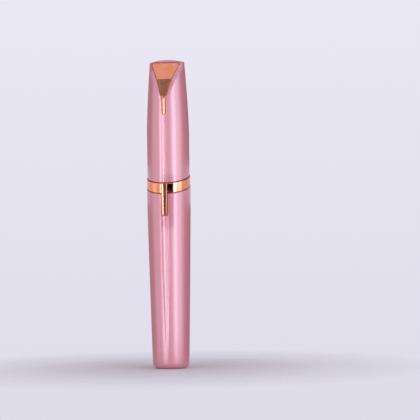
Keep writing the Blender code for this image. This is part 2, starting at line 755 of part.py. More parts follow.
def build_collar():
    """The slanted band, with the slot that the switch runs in."""
    outline = [
        (COLLAR_INNER, COLLAR_LOW),
        (COLLAR_RADIUS - COLLAR_BEVEL, COLLAR_LOW),
        (COLLAR_RADIUS, COLLAR_LOW + COLLAR_BEVEL),
        (COLLAR_RADIUS, COLLAR_TOP - COLLAR_BEVEL),
        (COLLAR_RADIUS - COLLAR_BEVEL, COLLAR_TOP),
        (COLLAR_INNER, COLLAR_TOP),
    ]
    collar = add("collar_ring", slanted(turned(outline, SHELL_SIDES)), GOLD, CORE)
    cut(collar, "collar_slot", slot_shape(COLLAR_INNER, COLLAR_RADIUS, 0))


def slot_shape(inner, outer, grown):
    """The slot through a slanted wall, as long as the switch's travel."""
    start = -STEM_HALF_ANGLE - SLOT_END_ANGLE - grown / outer
    end = SWITCH_TRAVEL + STEM_HALF_ANGLE + SLOT_END_ANGLE + grown / outer
    low = COLLAR_LOW + SLOT_LOW_RIM - grown
    high = COLLAR_TOP - SLOT_TOP_RIM + grown
    return slanted(sector(inner - CUT_OVERRUN / 2, outer + CUT_OVERRUN, low, high, start, end, SLOT_STEPS))


def build_switch():
    """The pointer that the thumb pushes, the dark carriage behind the slot and its wiping contact."""
    top = front_height(COLLAR_TOP, COLLAR_RADIUS) - POINTER_TOP_DROP
    tip = top - POINTER_LENGTH
    nose = POINTER_TIP_WIDTH / 2
    turns = spread(0, math.pi / 2, TIP_STEPS)[1:]
    stations = [(tip + nose * (1 - math.cos(a)), nose * math.sin(a)) for a in turns]
    stations.append((top, POINTER_WIDTH / 2))
    pointer = add("switch_slider", lofted([pointer_section(half, height) for height, half in stations]), GOLD,
                  SWITCH_PIVOT)
    stem_low = COLLAR_LOW + SLOT_LOW_RIM + FIT_GAP
    stem_high = COLLAR_TOP - SLOT_TOP_RIM - FIT_GAP
    stem = sector(CARRIAGE_OUTER + BED_GAP, POINTER_SEAT + POINTER_THICKNESS / 2, stem_low, stem_high,
                  -STEM_HALF_ANGLE, STEM_HALF_ANGLE, SHORT_STEPS)
    join(pointer, "switch_stem", slanted(stem))

    carriage_low = COLLAR_LOW - FIT_GAP
    carriage = sector(CARRIAGE_INNER, CARRIAGE_OUTER, carriage_low, COLLAR_TOP - FIT_GAP,
                      -CARRIAGE_HALF_ANGLE, CARRIAGE_HALF_ANGLE, WINDOW_STEPS)
    add("switch_carriage", slanted(carriage), BLACK_PLASTIC, SWITCH_PIVOT)

    wiper_top = front_height(carriage_low, CARRIAGE_OUTER) - SEAM_GAP
    wiper = sector(CARRIAGE_INNER, WIPER_OUTER, wiper_top - WIPER_LENGTH, wiper_top,
                   -WIPER_HALF_ANGLE, WIPER_HALF_ANGLE, SHORT_STEPS)
    add("contact_wiper", wiper, BRASS, SWITCH_PIVOT)

    leaf_inner = MOTOR_RADIUS + BED_GAP
    leaf_middle = front_height(COLLAR_MIDDLE, leaf_inner)
    leaf = sector(leaf_inner, CARRIAGE_INNER - BED_GAP, leaf_middle - DETENT_HEIGHT / 2,
                  leaf_middle + DETENT_HEIGHT / 2, -DETENT_HALF_ANGLE, DETENT_HALF_ANGLE, LEAF_STEPS)
    add("detent_spring", leaf, NICKEL, CORE)


def pointer_section(half, height):
    """The pointer's cross-section: flat underneath, with a crowned face."""
    crown_shares = [(-1, 0), (1, 0), (1, 0.45), (0.72, 0.86), (0.3, 1), (-0.3, 1), (-0.72, 0.86), (-1, 0.45)]
    lift = POINTER_THICKNESS * math.sqrt(min(1, half / (POINTER_TIP_WIDTH / 2)))
    return [(half * across, -POINTER_SEAT - lift * out, height) for across, out in crown_shares]


def build_neck():
    """The inner casing: skirt in the cover, seat of the collar, barrel in the cap, socket for the head."""
    outline = [
        (SOCKET_RADIUS, NECK_TOP),
        (NECK_RIM_RADIUS, NECK_TOP),
    ]
    for angle in spread(0, math.pi / 2, EDGE_STEPS)[1:]:
        radius = NECK_RIM_RADIUS + (NECK_RADIUS - NECK_RIM_RADIUS) * math.sin(angle)
        outline.append((radius, NECK_TOP - SHOULDER_HEIGHT * (1 - math.cos(angle))))
    half_groove = SEAL_WIRE_RADIUS + SEAM_GAP
    outline += [
        (NECK_RADIUS, SEAL_HEIGHT + half_groove),
        (NECK_RADIUS - SEAL_GROOVE_DEPTH, SEAL_HEIGHT + half_groove),
        (NECK_RADIUS - SEAL_GROOVE_DEPTH, SEAL_HEIGHT - half_groove),
        (NECK_RADIUS, SEAL_HEIGHT - half_groove),
        (NECK_RADIUS, LIP_TOP),
        (LIP_RADIUS, LIP_TOP),
        (LIP_RADIUS, COLLAR_LOW - SEAM_GAP),
        (SKIRT_RADIUS, COLLAR_LOW - SEAM_GAP),
        (SKIRT_RADIUS, SKIRT_LOW),
        (SKIRT_BORE, SKIRT_LOW),
        (SKIRT_BORE, STEP_HEIGHT),
        (NECK_BORE, STEP_HEIGHT),
        (NECK_BORE, CEILING),
        (FLOOR_HOLE_RADIUS, CEILING),
        (FLOOR_HOLE_RADIUS, SOCKET_FLOOR),
        (SOCKET_RADIUS, SOCKET_FLOOR),
    ]
    neck = add("neck_housing", slanted(turned(outline, SHELL_SIDES)), NECK_PLASTIC, CORE)
    cut(neck, "neck_slot", slot_shape(SKIRT_BORE, LIP_RADIUS, BED_GAP))
    leads_start = min(LEAD_ANGLES) - LEAD_RADIUS * 2 / NECK_BORE
    leads_end = max(LEAD_ANGLES) + LEAD_RADIUS * 2 / NECK_BORE
    cut(neck, "lead_groove", sector(NECK_BORE - CUT_OVERRUN, NECK_BORE + LEAD_GROOVE_DEPTH, COLLAR_LOW,
                                    CEILING - NECK_FLOOR, leads_start, leads_end, SHORT_STEPS))
    lamp_back = SOCKET_RADIUS + LAMP_SETBACK
    low = SHOULDER_LOW - FIT_GAP
    cut(neck, "lamp_window", block((-LAMP_HALF_WIDTH, -NECK_RADIUS - CUT_OVERRUN, low),
                                   (LAMP_HALF_WIDTH, -lamp_back, low + LAMP_WINDOW_HEIGHT)))

    ring = [
        (NECK_RADIUS - SEAL_WIRE_RADIUS + SEAM_GAP + SEAL_WIRE_RADIUS * math.cos(angle),
         SEAL_HEIGHT + SEAL_WIRE_RADIUS * math.sin(angle))
        for angle in spread(0, math.tau, SEAL_STEPS)[:-1]
    ]
    add("neck_seal_ring", turned(ring, FRAME_SIDES), RUBBER, CORE)


def shoulder_radius(height):
    """Outer radius of the neck's rounded shoulder."""
    drop = min(1, max(0, (NECK_TOP - height) / SHOULDER_HEIGHT))
    return NECK_RIM_RADIUS + (NECK_RADIUS - NECK_RIM_RADIUS) * math.sqrt(1 - (1 - drop) ** 2)


def build_lamp():
    """The work light: a lens let into the shoulder, the diode under it and its two leads."""
    back = SOCKET_RADIUS + LAMP_SETBACK + SEAM_GAP
    low = SHOULDER_LOW - FIT_GAP + SEAM_GAP
    high = SHOULDER_LOW - FIT_GAP + LAMP_WINDOW_HEIGHT - SEAM_GAP
    half = LAMP_HALF_WIDTH - SEAM_GAP
    lens = lofted([
        strip_section(half, back, shoulder_radius(height) * math.cos(half / NECK_RADIUS), height)
        for height in spread(low, high, FACET_STEPS)
    ])
    add("light_lens", lens, CLEAR_PLASTIC, CORE)

    led_low = low - FIT_GAP - LED_HEIGHT
    led_offset = NECK_BORE - LED_RADIUS - SEAM_GAP
    led_dome = led_low + LED_HEIGHT - LED_RADIUS
    outline = [(0, led_low), (LED_RADIUS, led_low)]
    dome = spread(0, math.pi / 2, EDGE_STEPS)
    outline += [(LED_RADIUS * math.cos(a), led_dome + LED_RADIUS * math.sin(a)) for a in dome]
    outline[-1] = (0, led_low + LED_HEIGHT)
    led = turned(outline, SMALL_SIDES)
    bmesh.ops.translate(led, vec=(0, -led_offset, 0), verts=led.verts)
    add("led", led, LED_RESIN, CORE)

    outer = NECK_BORE + LEAD_RADIUS - FIT_GAP + BED_GAP
    over = MOTOR_TOP + FIT_GAP + 2 * LEAD_RADIUS
    for name, angle, side in (("inner", LEAD_ANGLES[0], 1), ("outer", LEAD_ANGLES[1], -1)):
        start = BOARD_TOP - CHIP_HEIGHT / 2 + side * 2 * LEAD_RADIUS
        pin = -led_offset - side * LED_PIN_SPREAD / 2
        run = [
            (-BOARD_WIDTH / 2 - LEAD_RADIUS - BED_GAP, -BOARD_FRONT + BOARD_THICKNESS / 2, start),
            (outer * math.sin(angle), -outer * math.cos(angle), start + 4 * LEAD_RADIUS),
            (outer * math.sin(angle), -outer * math.cos(angle), over),
            (0, pin, over),
            (0, pin, led_low - FIT_GAP),
        ]
        wire(f"led_lead_{name}", run, LEAD_RADIUS, WIRE_RED, CORE)


def build_cradle():
    """The frame for the cell, the board and the motor: a tube cut open at the front, with three floors."""
    outline = [
        (0, CRADLE_LOW),
        (CRADLE_OUTER, CRADLE_LOW),
        (CRADLE_OUTER, CRADLE_TOP),
        (CRADLE_INNER, CRADLE_TOP),
        (CRADLE_INNER, SHELF_TOP),
        (SHELF_BORE_RADIUS, SHELF_TOP),
        (SHELF_BORE_RADIUS, SHELF_LOW),
        (CRADLE_INNER, SHELF_LOW),
        (CRADLE_INNER, PARTITION_TOP),
        (0, PARTITION_TOP),
    ]
    cradle = add("battery_cradle", turned(outline, FRAME_SIDES), WHITE_PLASTIC, CORE)
    cut(cradle, "cell_bay", disc(CRADLE_INNER, PLATE_TOP, PARTITION_LOW, FRAME_SIDES))
    reach = CRADLE_OUTER + CUT_OVERRUN
    inside = CRADLE_INNER - CRADLE_WALL
    cut(cradle, "cell_window", sector(inside, reach, FOOT_DISC_LOW, CONTACT_LOW,
                                      -CELL_WINDOW_ANGLE, CELL_WINDOW_ANGLE, WINDOW_STEPS))
    inside = SHELF_BORE_RADIUS - CUT_OVERRUN
    cut(cradle, "board_window", sector(inside, reach, BOARD_LOW, CRADLE_TOP + CUT_OVERRUN,
                                       -BOARD_WINDOW_ANGLE, BOARD_WINDOW_ANGLE, WINDOW_STEPS))
    half = STRIP_WIDTH / 2 + FIT_GAP
    cut(cradle, "strip_slot", block((-half, CRADLE_INNER - FIT_GAP, PLATE_TOP),
                                    (half, reach, BOARD_LOW + TAB_HEIGHT)))
    tab_back = -TAB_SETBACK - SHEET_THICKNESS - FIT_GAP
    cut(cradle, "tab_slot", block((-half, tab_back, PARTITION_LOW - CUT_OVERRUN),
                                  (half, -TAB_SETBACK + FIT_GAP, PARTITION_TOP + CUT_OVERRUN)))


def build_cell():
    """One AAA cell: a rounded can with its positive nub at the top."""
    shoulder = CELL_TOP - CELL_NUB_HEIGHT
    outline = [
        (0, CELL_LOW),
        (CELL_RADIUS - CELL_EDGE, CELL_LOW),
        (CELL_RADIUS, CELL_LOW + CELL_EDGE),
        (CELL_RADIUS, shoulder - CELL_EDGE),
        (CELL_RADIUS - CELL_EDGE, shoulder),
        (CELL_NUB_RADIUS, shoulder),
        (CELL_NUB_RADIUS, CELL_TOP),
        (0, CELL_TOP),
    ]
    add("battery_cell", turned(outline, CORE_SIDES), CELL_WRAP, CORE)


def build_contacts():
    """The coil spring and its strip at the cell's foot, and the sheet contact at its nub."""
    count = round(SPRING_TURNS * SPRING_POINTS_PER_TURN)
    coil = []
    for step in range(count + 1):
        share = step / count
        angle = share * SPRING_TURNS * math.tau
        radius = SPRING_FOOT_RADIUS + (SPRING_HEAD_RADIUS - SPRING_FOOT_RADIUS) * share
        height = SPRING_LOW + SPRING_WIRE_RADIUS + (SPRING_HEIGHT - 2 * SPRING_WIRE_RADIUS) * share
        coil.append((radius * math.cos(angle), radius * math.sin(angle), height))
    wire("battery_spring", coil, SPRING_WIRE_RADIUS, NICKEL, CORE)

    half = STRIP_WIDTH / 2
    back = CRADLE_INNER + BED_GAP
    foot_top = FOOT_DISC_LOW + SHEET_THICKNESS
    round_foot = disc(SPRING_FOOT_RADIUS + FIT_GAP, FOOT_DISC_LOW, foot_top, CORE_SIDES)
    foot = add("negative_strip", round_foot, NICKEL, CORE)
    join(foot, "strip_foot", block((-half, 0, FOOT_DISC_LOW + WELD),
                                   (half, back + SHEET_THICKNESS, foot_top - WELD)))
    riser_top = BOARD_LOW + TAB_HEIGHT - FIT_GAP
    join(foot, "strip_riser", block((-half + WELD, back, FOOT_DISC_LOW + 2 * WELD),
                                    (half - WELD, back + SHEET_THICKNESS - WELD, riser_top)))

    contact = add("positive_contact", disc(CONTACT_RADIUS + FIT_GAP, CONTACT_LOW, CONTACT_LOW + SHEET_THICKNESS,
                                           CORE_SIDES), NICKEL, CORE)
    join(contact, "contact_tab", block((-half, -TAB_SETBACK - SHEET_THICKNESS, CONTACT_LOW + WELD),
                                       (half, -TAB_SETBACK, BOARD_LOW + TAB_HEIGHT)))


def build_board():
    """The small board that joins the switch, the light and the motor."""
    half = BOARD_WIDTH / 2
    back = BOARD_FRONT - BOARD_THICKNESS
    board = block((-half, -BOARD_FRONT, BOARD_LOW), (half, -back, BOARD_TOP))
    add("circuit_board", board, BOARD_GREEN, CORE)
    high = BOARD_TOP - CHIP_HEIGHT - 2 * LEAD_RADIUS - BED_GAP
    low = high - CHIP_HEIGHT + FIT_GAP
    part = CHIP_WIDTH / 2
    face = -back + BED_GAP + CHIP_THICKNESS
    resistor = block((-part, -back + BED_GAP, low), (part, face, high))
    driver = block((-part, -back + BED_GAP, low - FIT_GAP - CHIP_HEIGHT), (part, face, low - FIT_GAP))
    add("board_driver", driver, BLACK_PLASTIC, CORE)
    add("board_resistor", resistor, BLACK_PLASTIC, CORE)


def build_motor():
    """The small brushed motor: can, magnets, end cap with terminals, bush, armature and shaft."""
    inner = MOTOR_RADIUS - MOTOR_WALL
    can_low = MOTOR_LOW + END_CAP_HEIGHT - END_CAP_PLUG
    bush_radius = SHAFT_RADIUS + BED_GAP + BUSH_WALL
    hole = bush_radius + BED_GAP
    outline = [
        (inner, can_low),
        (MOTOR_RADIUS, can_low),
        (MOTOR_RADIUS, MOTOR_TOP - CELL_EDGE),
        (MOTOR_RADIUS - CELL_EDGE, MOTOR_TOP),
        (hole, MOTOR_TOP),
        (hole, MOTOR_TOP - MOTOR_WALL),
        (inner, MOTOR_TOP - MOTOR_WALL),
    ]
    add("motor_can", turned(outline, FRAME_SIDES), MOTOR_STEEL, CORE)

    plug = inner - BED_GAP
    rim_top = can_low - BED_GAP
    bore = SHAFT_RADIUS + BED_GAP
    cap = turned([
        (bore, MOTOR_LOW),
        (MOTOR_RADIUS - BED_GAP, MOTOR_LOW),
        (MOTOR_RADIUS - BED_GAP, rim_top),
        (plug, rim_top),
        (plug, MOTOR_LOW + END_CAP_HEIGHT),
        (bore, MOTOR_LOW + END_CAP_HEIGHT),
    ], CORE_SIDES)
    add("motor_end_cap", cap, WHITE_PLASTIC, CORE)

    bush_low = MOTOR_TOP - MOTOR_WALL - BUSH_HEIGHT / 2
    add("motor_bush", tube(bore, bush_radius, bush_low, bush_low + BUSH_HEIGHT, SMALL_SIDES), BRASS, CORE)

    magnet_outer = inner - BED_GAP
    magnet_inner = magnet_outer - MAGNET_THICKNESS
    core_low = MOTOR_LOW + END_CAP_HEIGHT + WINDING_HEIGHT + 2 * FIT_GAP + BUSH_HEIGHT / 2
    for name, side in (("front", 0), ("rear", math.pi)):
        magnet = sector(magnet_inner, magnet_outer, core_low, core_low + CORE_HEIGHT,
                        side - MAGNET_HALF_ANGLE, side + MAGNET_HALF_ANGLE, WINDOW_STEPS)
        add(f"motor_magnet_{name}", magnet, FERRITE, CORE)

    core_radius = magnet_inner - AIR_GAP
    armature = turned([
        (bore, core_low - WINDING_HEIGHT),
        (WINDING_RADIUS, core_low - WINDING_HEIGHT),
        (WINDING_RADIUS, core_low),
        (core_radius, core_low),
        (core_radius, core_low + CORE_HEIGHT),
        (WINDING_RADIUS, core_low + CORE_HEIGHT),
        (WINDING_RADIUS, core_low + CORE_HEIGHT + WINDING_HEIGHT),
        (bore, core_low + CORE_HEIGHT + WINDING_HEIGHT),
    ], CORE_SIDES)
    add("motor_armature", armature, COPPER, ROTOR_AXIS)
    shaft_top = MOTOR_TOP + COUPLING_GRIP + FIT_GAP
    add("motor_shaft", disc(SHAFT_RADIUS, MOTOR_LOW + FIT_GAP, shaft_top, SMALL_SIDES), STEEL, ROTOR_AXIS)

    lead = LEAD_RADIUS
    board_back = -BOARD_FRONT + BOARD_THICKNESS
    for name, side in (("left", -1), ("right", 1)):
        middle = side * TERMINAL_SPREAD
        low = MOTOR_LOW - BED_GAP - TERMINAL_LENGTH
        tab = block((middle - TERMINAL_WIDTH / 2, TERMINAL_BACKSET, low),
                    (middle + TERMINAL_WIDTH / 2, TERMINAL_BACKSET + SHEET_THICKNESS, MOTOR_LOW - BED_GAP))
        add(f"motor_terminal_{name}", tab, NICKEL, CORE)
        front = TERMINAL_BACKSET - lead - BED_GAP
        entry = BOARD_TOP - CHIP_HEIGHT
        aside = side * (CHIP_WIDTH / 2 + BED_GAP + lead)
        run = [
            (middle, front, low + TERMINAL_WIDTH),
            (middle, front, low - lead),
            (aside, (front + board_back) / 2, entry),
            (aside, board_back + BED_GAP, entry - lead),
        ]
        wire(f"motor_lead_{name}", run, lead, WIRE_RED, CORE)


def build_drive():
    """The coupling on the motor's shaft, whose six-sided stub drives the cutter and lets the head lift off."""
    low = MOTOR_TOP + BUSH_HEIGHT / 2 + FIT_GAP
    bore = SHAFT_RADIUS + BED_GAP
    grip_top = MOTOR_TOP + COUPLING_GRIP + 2 * FIT_GAP
    shoulder = CEILING - FIT_GAP
    sleeve = turned([
        (0, grip_top),
        (bore, grip_top),
        (bore, low),
        (COUPLING_RADIUS, low),
        (COUPLING_RADIUS, shoulder - FIT_GAP),
        (STUB_RADIUS + FIT_GAP, shoulder),
        (0, shoulder),
    ], SMALL_SIDES)
    coupling = add("drive_coupling", sleeve, BLACK_PLASTIC, ROTOR_AXIS)
    stub_top = CARRIER_LOW + FOOT_SOCKET_DEPTH - FIT_GAP
    join(coupling, "coupling_stub", disc(STUB_RADIUS, shoulder - FIT_GAP, stub_top, STUB_SIDES))


def build_head():
    """The lift-off head: spigot and flange, the bush in it and the slotted dome over the blades."""
    outline = [
        (SPIGOT_BORE, SPIGOT_LOW),
        (SPIGOT_RADIUS, SPIGOT_LOW),
        (SPIGOT_RADIUS, FLANGE_LOW),
        (HEAD_RADIUS - HEAD_BEVEL, FLANGE_LOW),
        (HEAD_RADIUS, FLANGE_LOW + HEAD_BEVEL),
        (HEAD_RADIUS, FLANGE_TOP),
        (BARREL_RADIUS, FLANGE_TOP),
        (BARREL_RADIUS, BARREL_TOP),
        (SPIGOT_BORE, BARREL_TOP),
    ]
    add("head_base", turned(outline, FRAME_SIDES), GOLD, HEAD_SLIDE)

    bush_inner = STALK_RADIUS + BED_GAP
    bush_outer = min(bush_inner + HEAD_BUSH_WALL, SPIGOT_BORE - BED_GAP)
    bush_top = BARREL_TOP - BED_GAP
    add("head_bush", tube(bush_inner, bush_outer, bush_top - HEAD_BUSH_HEIGHT, bush_top, SMALL_SIDES), BRASS,
        HEAD_SLIDE)

    rise = spread(0, math.pi / 2, DOME_STEPS)
    outside = [(HEAD_RADIUS, GUARD_LOW)]
    outside += [(HEAD_RADIUS * math.cos(a), DOME_LOW + GUARD_DOME * math.sin(a)) for a in rise]
    outside[-1] = (0, HEAD_TOP)
    inner_dome = GUARD_DOME - GUARD_WALL
    inside = [(GUARD_INNER * math.cos(a), DOME_LOW + inner_dome * math.sin(a)) for a in reversed(rise)]
    inside[0] = (0, HEAD_TOP - GUARD_WALL)
    inside.append((GUARD_INNER, GUARD_LOW))
    guard = add("head_guard", turned(inside + outside, FRAME_SIDES), GOLD, HEAD_SLIDE)
    slots = []
    for index in range(GUARD_SLOTS):
        bar = block((GUARD_HUB_RADIUS, -GUARD_SLOT_WIDTH / 2, DOME_LOW - GUARD_SLOT_SKIRT),
                    (HEAD_RADIUS + CUT_OVERRUN, GUARD_SLOT_WIDTH / 2, HEAD_TOP + CUT_OVERRUN))
        turn = Matrix.Rotation(math.tau * index / GUARD_SLOTS, 4, "Z")
        bmesh.ops.transform(bar, matrix=turn, verts=bar.verts)
        slots.append(bar)
    cut(guard, "guard_slots", merged(*slots))


def build_cutter():
    """The carrier that the stub turns, and the star of thin blades that sweeps under the dome."""
    carrier = turned([
        (0, DISC_TOP),
        (DISC_RADIUS, DISC_TOP),
        (DISC_RADIUS, DISC_LOW),
        (STALK_RADIUS, DISC_LOW),
        (STALK_RADIUS, CARRIER_LOW + FOOT_HEIGHT),
        (FOOT_RADIUS, CARRIER_LOW + FOOT_HEIGHT),
        (FOOT_RADIUS, CARRIER_LOW),
        (0, CARRIER_LOW),
    ], CORE_SIDES)
    carrier = add("blade_carrier", carrier, BLACK_PLASTIC, CUTTER_AXIS)
    socket = disc(STUB_RADIUS + FIT_GAP, CARRIER_LOW - CUT_OVERRUN, CARRIER_LOW + FOOT_SOCKET_DEPTH, STUB_SIDES)
    cut(carrier, "carrier_socket", socket)

    low = DISC_TOP + BED_GAP
    reach = GUARD_INNER - BLADE_CLEARANCE
    dome = GUARD_DOME - GUARD_WALL - BLADE_CLEARANCE
    half = BLADE_THICKNESS / 2
    step = math.pi / BLADE_COUNT
    plan = []
    for index in range(BLADE_COUNT):
        turn = Matrix.Rotation(2 * step * index, 3, "Z")
        plan += [turn @ Vector((reach + CUT_OVERRUN, side, 0)) for side in (-half, half)]
        plan.append(turn @ Vector((BLADE_ROOT_RADIUS * math.cos(step), BLADE_ROOT_RADIUS * math.sin(step), 0)))
    star = lofted([[(point.x, point.y, height) for point in plan] for height in (low, HEAD_TOP)])
    blades = add("cutter_blades", star, STEEL, CUTTER_AXIS)
    outline = [(0, low - CUT_OVERRUN), (reach, low - CUT_OVERRUN)]
    rise = spread(0, math.pi / 2, DOME_STEPS)
    outline += [(reach * math.cos(a), DOME_LOW + dome * math.sin(a)) for a in rise]
    outline[-1] = (0, DOME_LOW + dome)
    boolean(blades, cutter("blade_sweep", turned(outline, FRAME_SIDES), CUTTER_AXIS), "INTERSECT")


build_cover()
build_cap()
build_insert()
build_liner()
build_collar()
build_switch()
build_neck()
build_lamp()
build_cradle()
build_cell()
build_contacts()
build_board()
build_motor()
build_drive()
build_head()
build_cutter()
print(f"pen length {PEN_TOP / MM:.1f} mm, greatest diameter {2 * COVER_RADIUS / MM:.1f} mm")
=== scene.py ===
# %% [markdown]
# # Dressing a pen trimmer for its portrait
#
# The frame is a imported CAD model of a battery-powered eyebrow trimmer: a slim rose pen with a pull-off cap,
# a slanted metal collar with a thumb switch, and a pull-off battery cover. Its solids are right in size and
# place but coarse. This notebook turns them into something that looks bought: each visible piece is remade
# on a finer mesh in exactly the same place, and every piece gets the finish its real material has.

import json
import math

import bmesh
import bpy
from mathutils import Matrix, Vector


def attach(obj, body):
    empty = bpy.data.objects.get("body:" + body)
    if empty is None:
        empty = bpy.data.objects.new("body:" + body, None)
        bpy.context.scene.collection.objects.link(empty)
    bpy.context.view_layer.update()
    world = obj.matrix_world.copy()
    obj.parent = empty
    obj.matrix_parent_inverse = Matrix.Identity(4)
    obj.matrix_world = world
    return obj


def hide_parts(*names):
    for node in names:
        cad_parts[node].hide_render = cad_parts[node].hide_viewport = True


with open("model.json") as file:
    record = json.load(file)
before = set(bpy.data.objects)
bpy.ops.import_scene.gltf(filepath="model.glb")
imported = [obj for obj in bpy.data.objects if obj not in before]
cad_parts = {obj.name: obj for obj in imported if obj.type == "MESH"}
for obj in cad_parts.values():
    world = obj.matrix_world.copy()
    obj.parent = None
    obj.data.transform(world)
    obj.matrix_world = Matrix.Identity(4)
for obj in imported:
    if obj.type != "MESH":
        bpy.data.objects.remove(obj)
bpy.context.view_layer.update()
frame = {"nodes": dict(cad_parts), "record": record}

# %% [markdown]
# ## Sizes
#
# Shapes are drawn in millimetres, because that is how a pen is measured, and each one is brought to metres
# when it is finished. +Z runs up the pen, and its front, with the switch, faces -Y. Heights count from the
# flat base.

# %% Sizes of the casing, in millimetres
MM = 0.001
COVER_TOP = 77.65
COVER_BASE_RADIUS = 7.8
COVER_RADIUS = 9.4
COVER_SWELL = 1.2
COVER_EDGE = 2.1
COVER_FLOOR = 1.8
CASING_WALL = 1.2
COLLAR_LOW = 77.9
COLLAR_TOP = 82.1
COLLAR_SLANT = math.tan(math.radians(17.5))
SLANT_MARGIN = 3.0
SLANT_RUN = 5.5
CAP_RIM = 82.35
CAP_RADIUS = 9.05
CAP_INNER = 7.8
CAP_TAPER_START = 100.4
CAP_TAPER_LENGTH = 32.0
CAP_TAPER_BEND = 1.5
CAP_TIP_DROP = 1.75
PEN_TOP = 132.4


def slant(point):
    """Leans a height into the collar's slanted plane: fully round the collar, less and less beyond it."""
    x, y, z = point
    beyond = max(COLLAR_LOW - SLANT_MARGIN - z, z - COLLAR_TOP - SLANT_MARGIN, 0)
    return Vector((x, y, z + COLLAR_SLANT * y * max(0, 1 - beyond / SLANT_RUN)))


def cover_radius(z):
    """The cover swells from its base to the collar."""
    return COVER_RADIUS - (COVER_RADIUS - COVER_BASE_RADIUS) * max(0, 1 - z / COVER_TOP) ** COVER_SWELL


def cap_radius(z):
    """The cap is straight above the collar and then draws in towards its end."""
    return CAP_RADIUS - CAP_TIP_DROP * max(0, (z - CAP_TAPER_START) / CAP_TAPER_LENGTH) ** CAP_TAPER_BEND


def spread(low, high, steps):
    """Evenly spaced values from low to high, both included."""
    return [low + (high - low) * step / steps for step in range(steps + 1)]


print(f"casing {2 * COVER_RADIUS:.1f} mm across, {PEN_TOP:.0f} mm long")

# %% [markdown]
# ## One way to make a node, one way to read a colour
#
# Colours are picked as the hex values that a screen shows, and Blender's shaders want linear light, so one
# function converts them. Every material below is wired with one small function, which adds a node, sets it
# and links it.


# %% Colour and node helpers
def linear(code):
    """A hex colour such as '#C08090' as the linear values a shader works in."""
    channels = [int(code[i : i + 2], 16) / 255 for i in (1, 3, 5)]
    return (*[c / 12.92 if c <= 0.04045 else ((c + 0.055) / 1.055) ** 2.4 for c in channels], 1)


def add_node(tree, kind, settings=None, links=None):
    """Adds a node. Settings go to its properties or inputs, links join other sockets to its inputs."""
    node = tree.nodes.new(kind)
    for name, value in (settings or {}).items():
        if isinstance(name, str) and hasattr(node, name):
            setattr(node, name, value)
        else:
            node.inputs[name].default_value = value
    for name, source in (links or {}).items():
        tree.links.new(source, node.inputs[name])
    return node


def new_material(name, base, roughness, metallic=0.0, **sockets):
    """A Principled material with plain values on its sockets, ready for a pattern."""
    made = bpy.data.materials.new(name)
    made.use_nodes = True
    shader = made.node_tree.nodes["Principled BSDF"]
    shader.inputs["Base Color"].default_value = linear(base)
    shader.inputs["Roughness"].default_value = roughness
    shader.inputs["Metallic"].default_value = metallic
    for socket, value in sockets.items():
        shader.inputs[socket.replace("_", " ").title().replace("Ior", "IOR")].default_value = value
    return made, made.node_tree, shader


def pattern(tree, size, stretch=(1, 1, 1), detail=2.0, kind="ShaderNodeTexNoise", **settings):
    """A noise or cell pattern in the piece's own coordinates, whose features measure size millimetres."""
    place = add_node(tree, "ShaderNodeTexCoord")
    stretched = add_node(tree, "ShaderNodeMapping", {"Scale": stretch}, {"Vector": place.outputs["Object"]})
    values = {"Scale": 1 / (size * MM), **settings}
    if kind == "ShaderNodeTexNoise":
        values["Detail"] = detail
    return add_node(tree, kind, values, {"Vector": stretched.outputs["Vector"]})


def vary_color(tree, shader, source, low, high):
    """Runs the base colour between two hex colours as the pattern goes from dark to light."""
    ramp = add_node(tree, "ShaderNodeValToRGB", links={"Fac": source})
    for stop, position, color in zip(ramp.color_ramp.elements, (0.3, 0.7), (low, high)):
        stop.position, stop.color = position, linear(color)
    tree.links.new(ramp.outputs["Color"], shader.inputs["Base Color"])


def vary_roughness(tree, shader, source, low, high):
    """Runs the roughness between two values with the pattern."""
    scaled = add_node(tree, "ShaderNodeMapRange", {"To Min": low, "To Max": high}, {"Value": source})
    tree.links.new(scaled.outputs["Result"], shader.inputs["Roughness"])


def emboss(tree, shader, source, height, strength=1.0):
    """Raises the surface by the pattern, height millimetres at most."""
    sizes = {"Distance": height * MM, "Strength": strength}
    bump = add_node(tree, "ShaderNodeBump", sizes, {"Height": source})
    tree.links.new(bump.outputs["Normal"], shader.inputs["Normal"])


print("helpers ready")

# %% [markdown]
# ## Pearl rose lacquer
#
# The casing is moulded ABS sprayed with a pearl lacquer: tiny metallic flakes in a tinted base under a
# clear coat. It gives a broad, silky highlight instead of a mirror, and a fine sparkle close up. Real
# flakes are about 0.05 mm, too fine for this picture, so they are drawn twice as coarse. The flakes are
# mica with a thin metal oxide, so the base is only slightly metallic. The coat's IOR lies above the 1.5 of
# a plain lacquer, because the pearl flakes close under it reflect along with it, and its roughness gives
# the soft edge of the highlights.

# %% Lacquer
lacquer, tree, shader = new_material(
    "pearl_rose_lacquer", "#C87683", 0.44, 0.08, specular_ior_level=1.0,
    coat_weight=1.0, coat_roughness=0.24, coat_ior=1.8,
)
flakes = pattern(tree, 0.12, kind="ShaderNodeTexVoronoi", Randomness=1.0)
flake_values = add_node(tree, "ShaderNodeSeparateColor", links={"Color": flakes.outputs["Color"]})
vary_color(tree, shader, flake_values.outputs["Red"], "#C47280", "#CC7B87")
vary_roughness(tree, shader, flake_values.outputs["Green"], 0.38, 0.46)
cloud = pattern(tree, 0.6)
emboss(tree, shader, cloud.outputs["Fac"], 0.006, 0.3)
print(lacquer.name)

# %% [markdown]
# ## Rose gold plate
#
# Collar, pointer, insert and cutting head are plated: a mirror of reddish gold over moulded or turned
# metal. A plated surface is never perfectly flat, so a slow waviness of a few hundredths of a millimetre
# bends the reflections, and a fine polishing grain widens them a little.

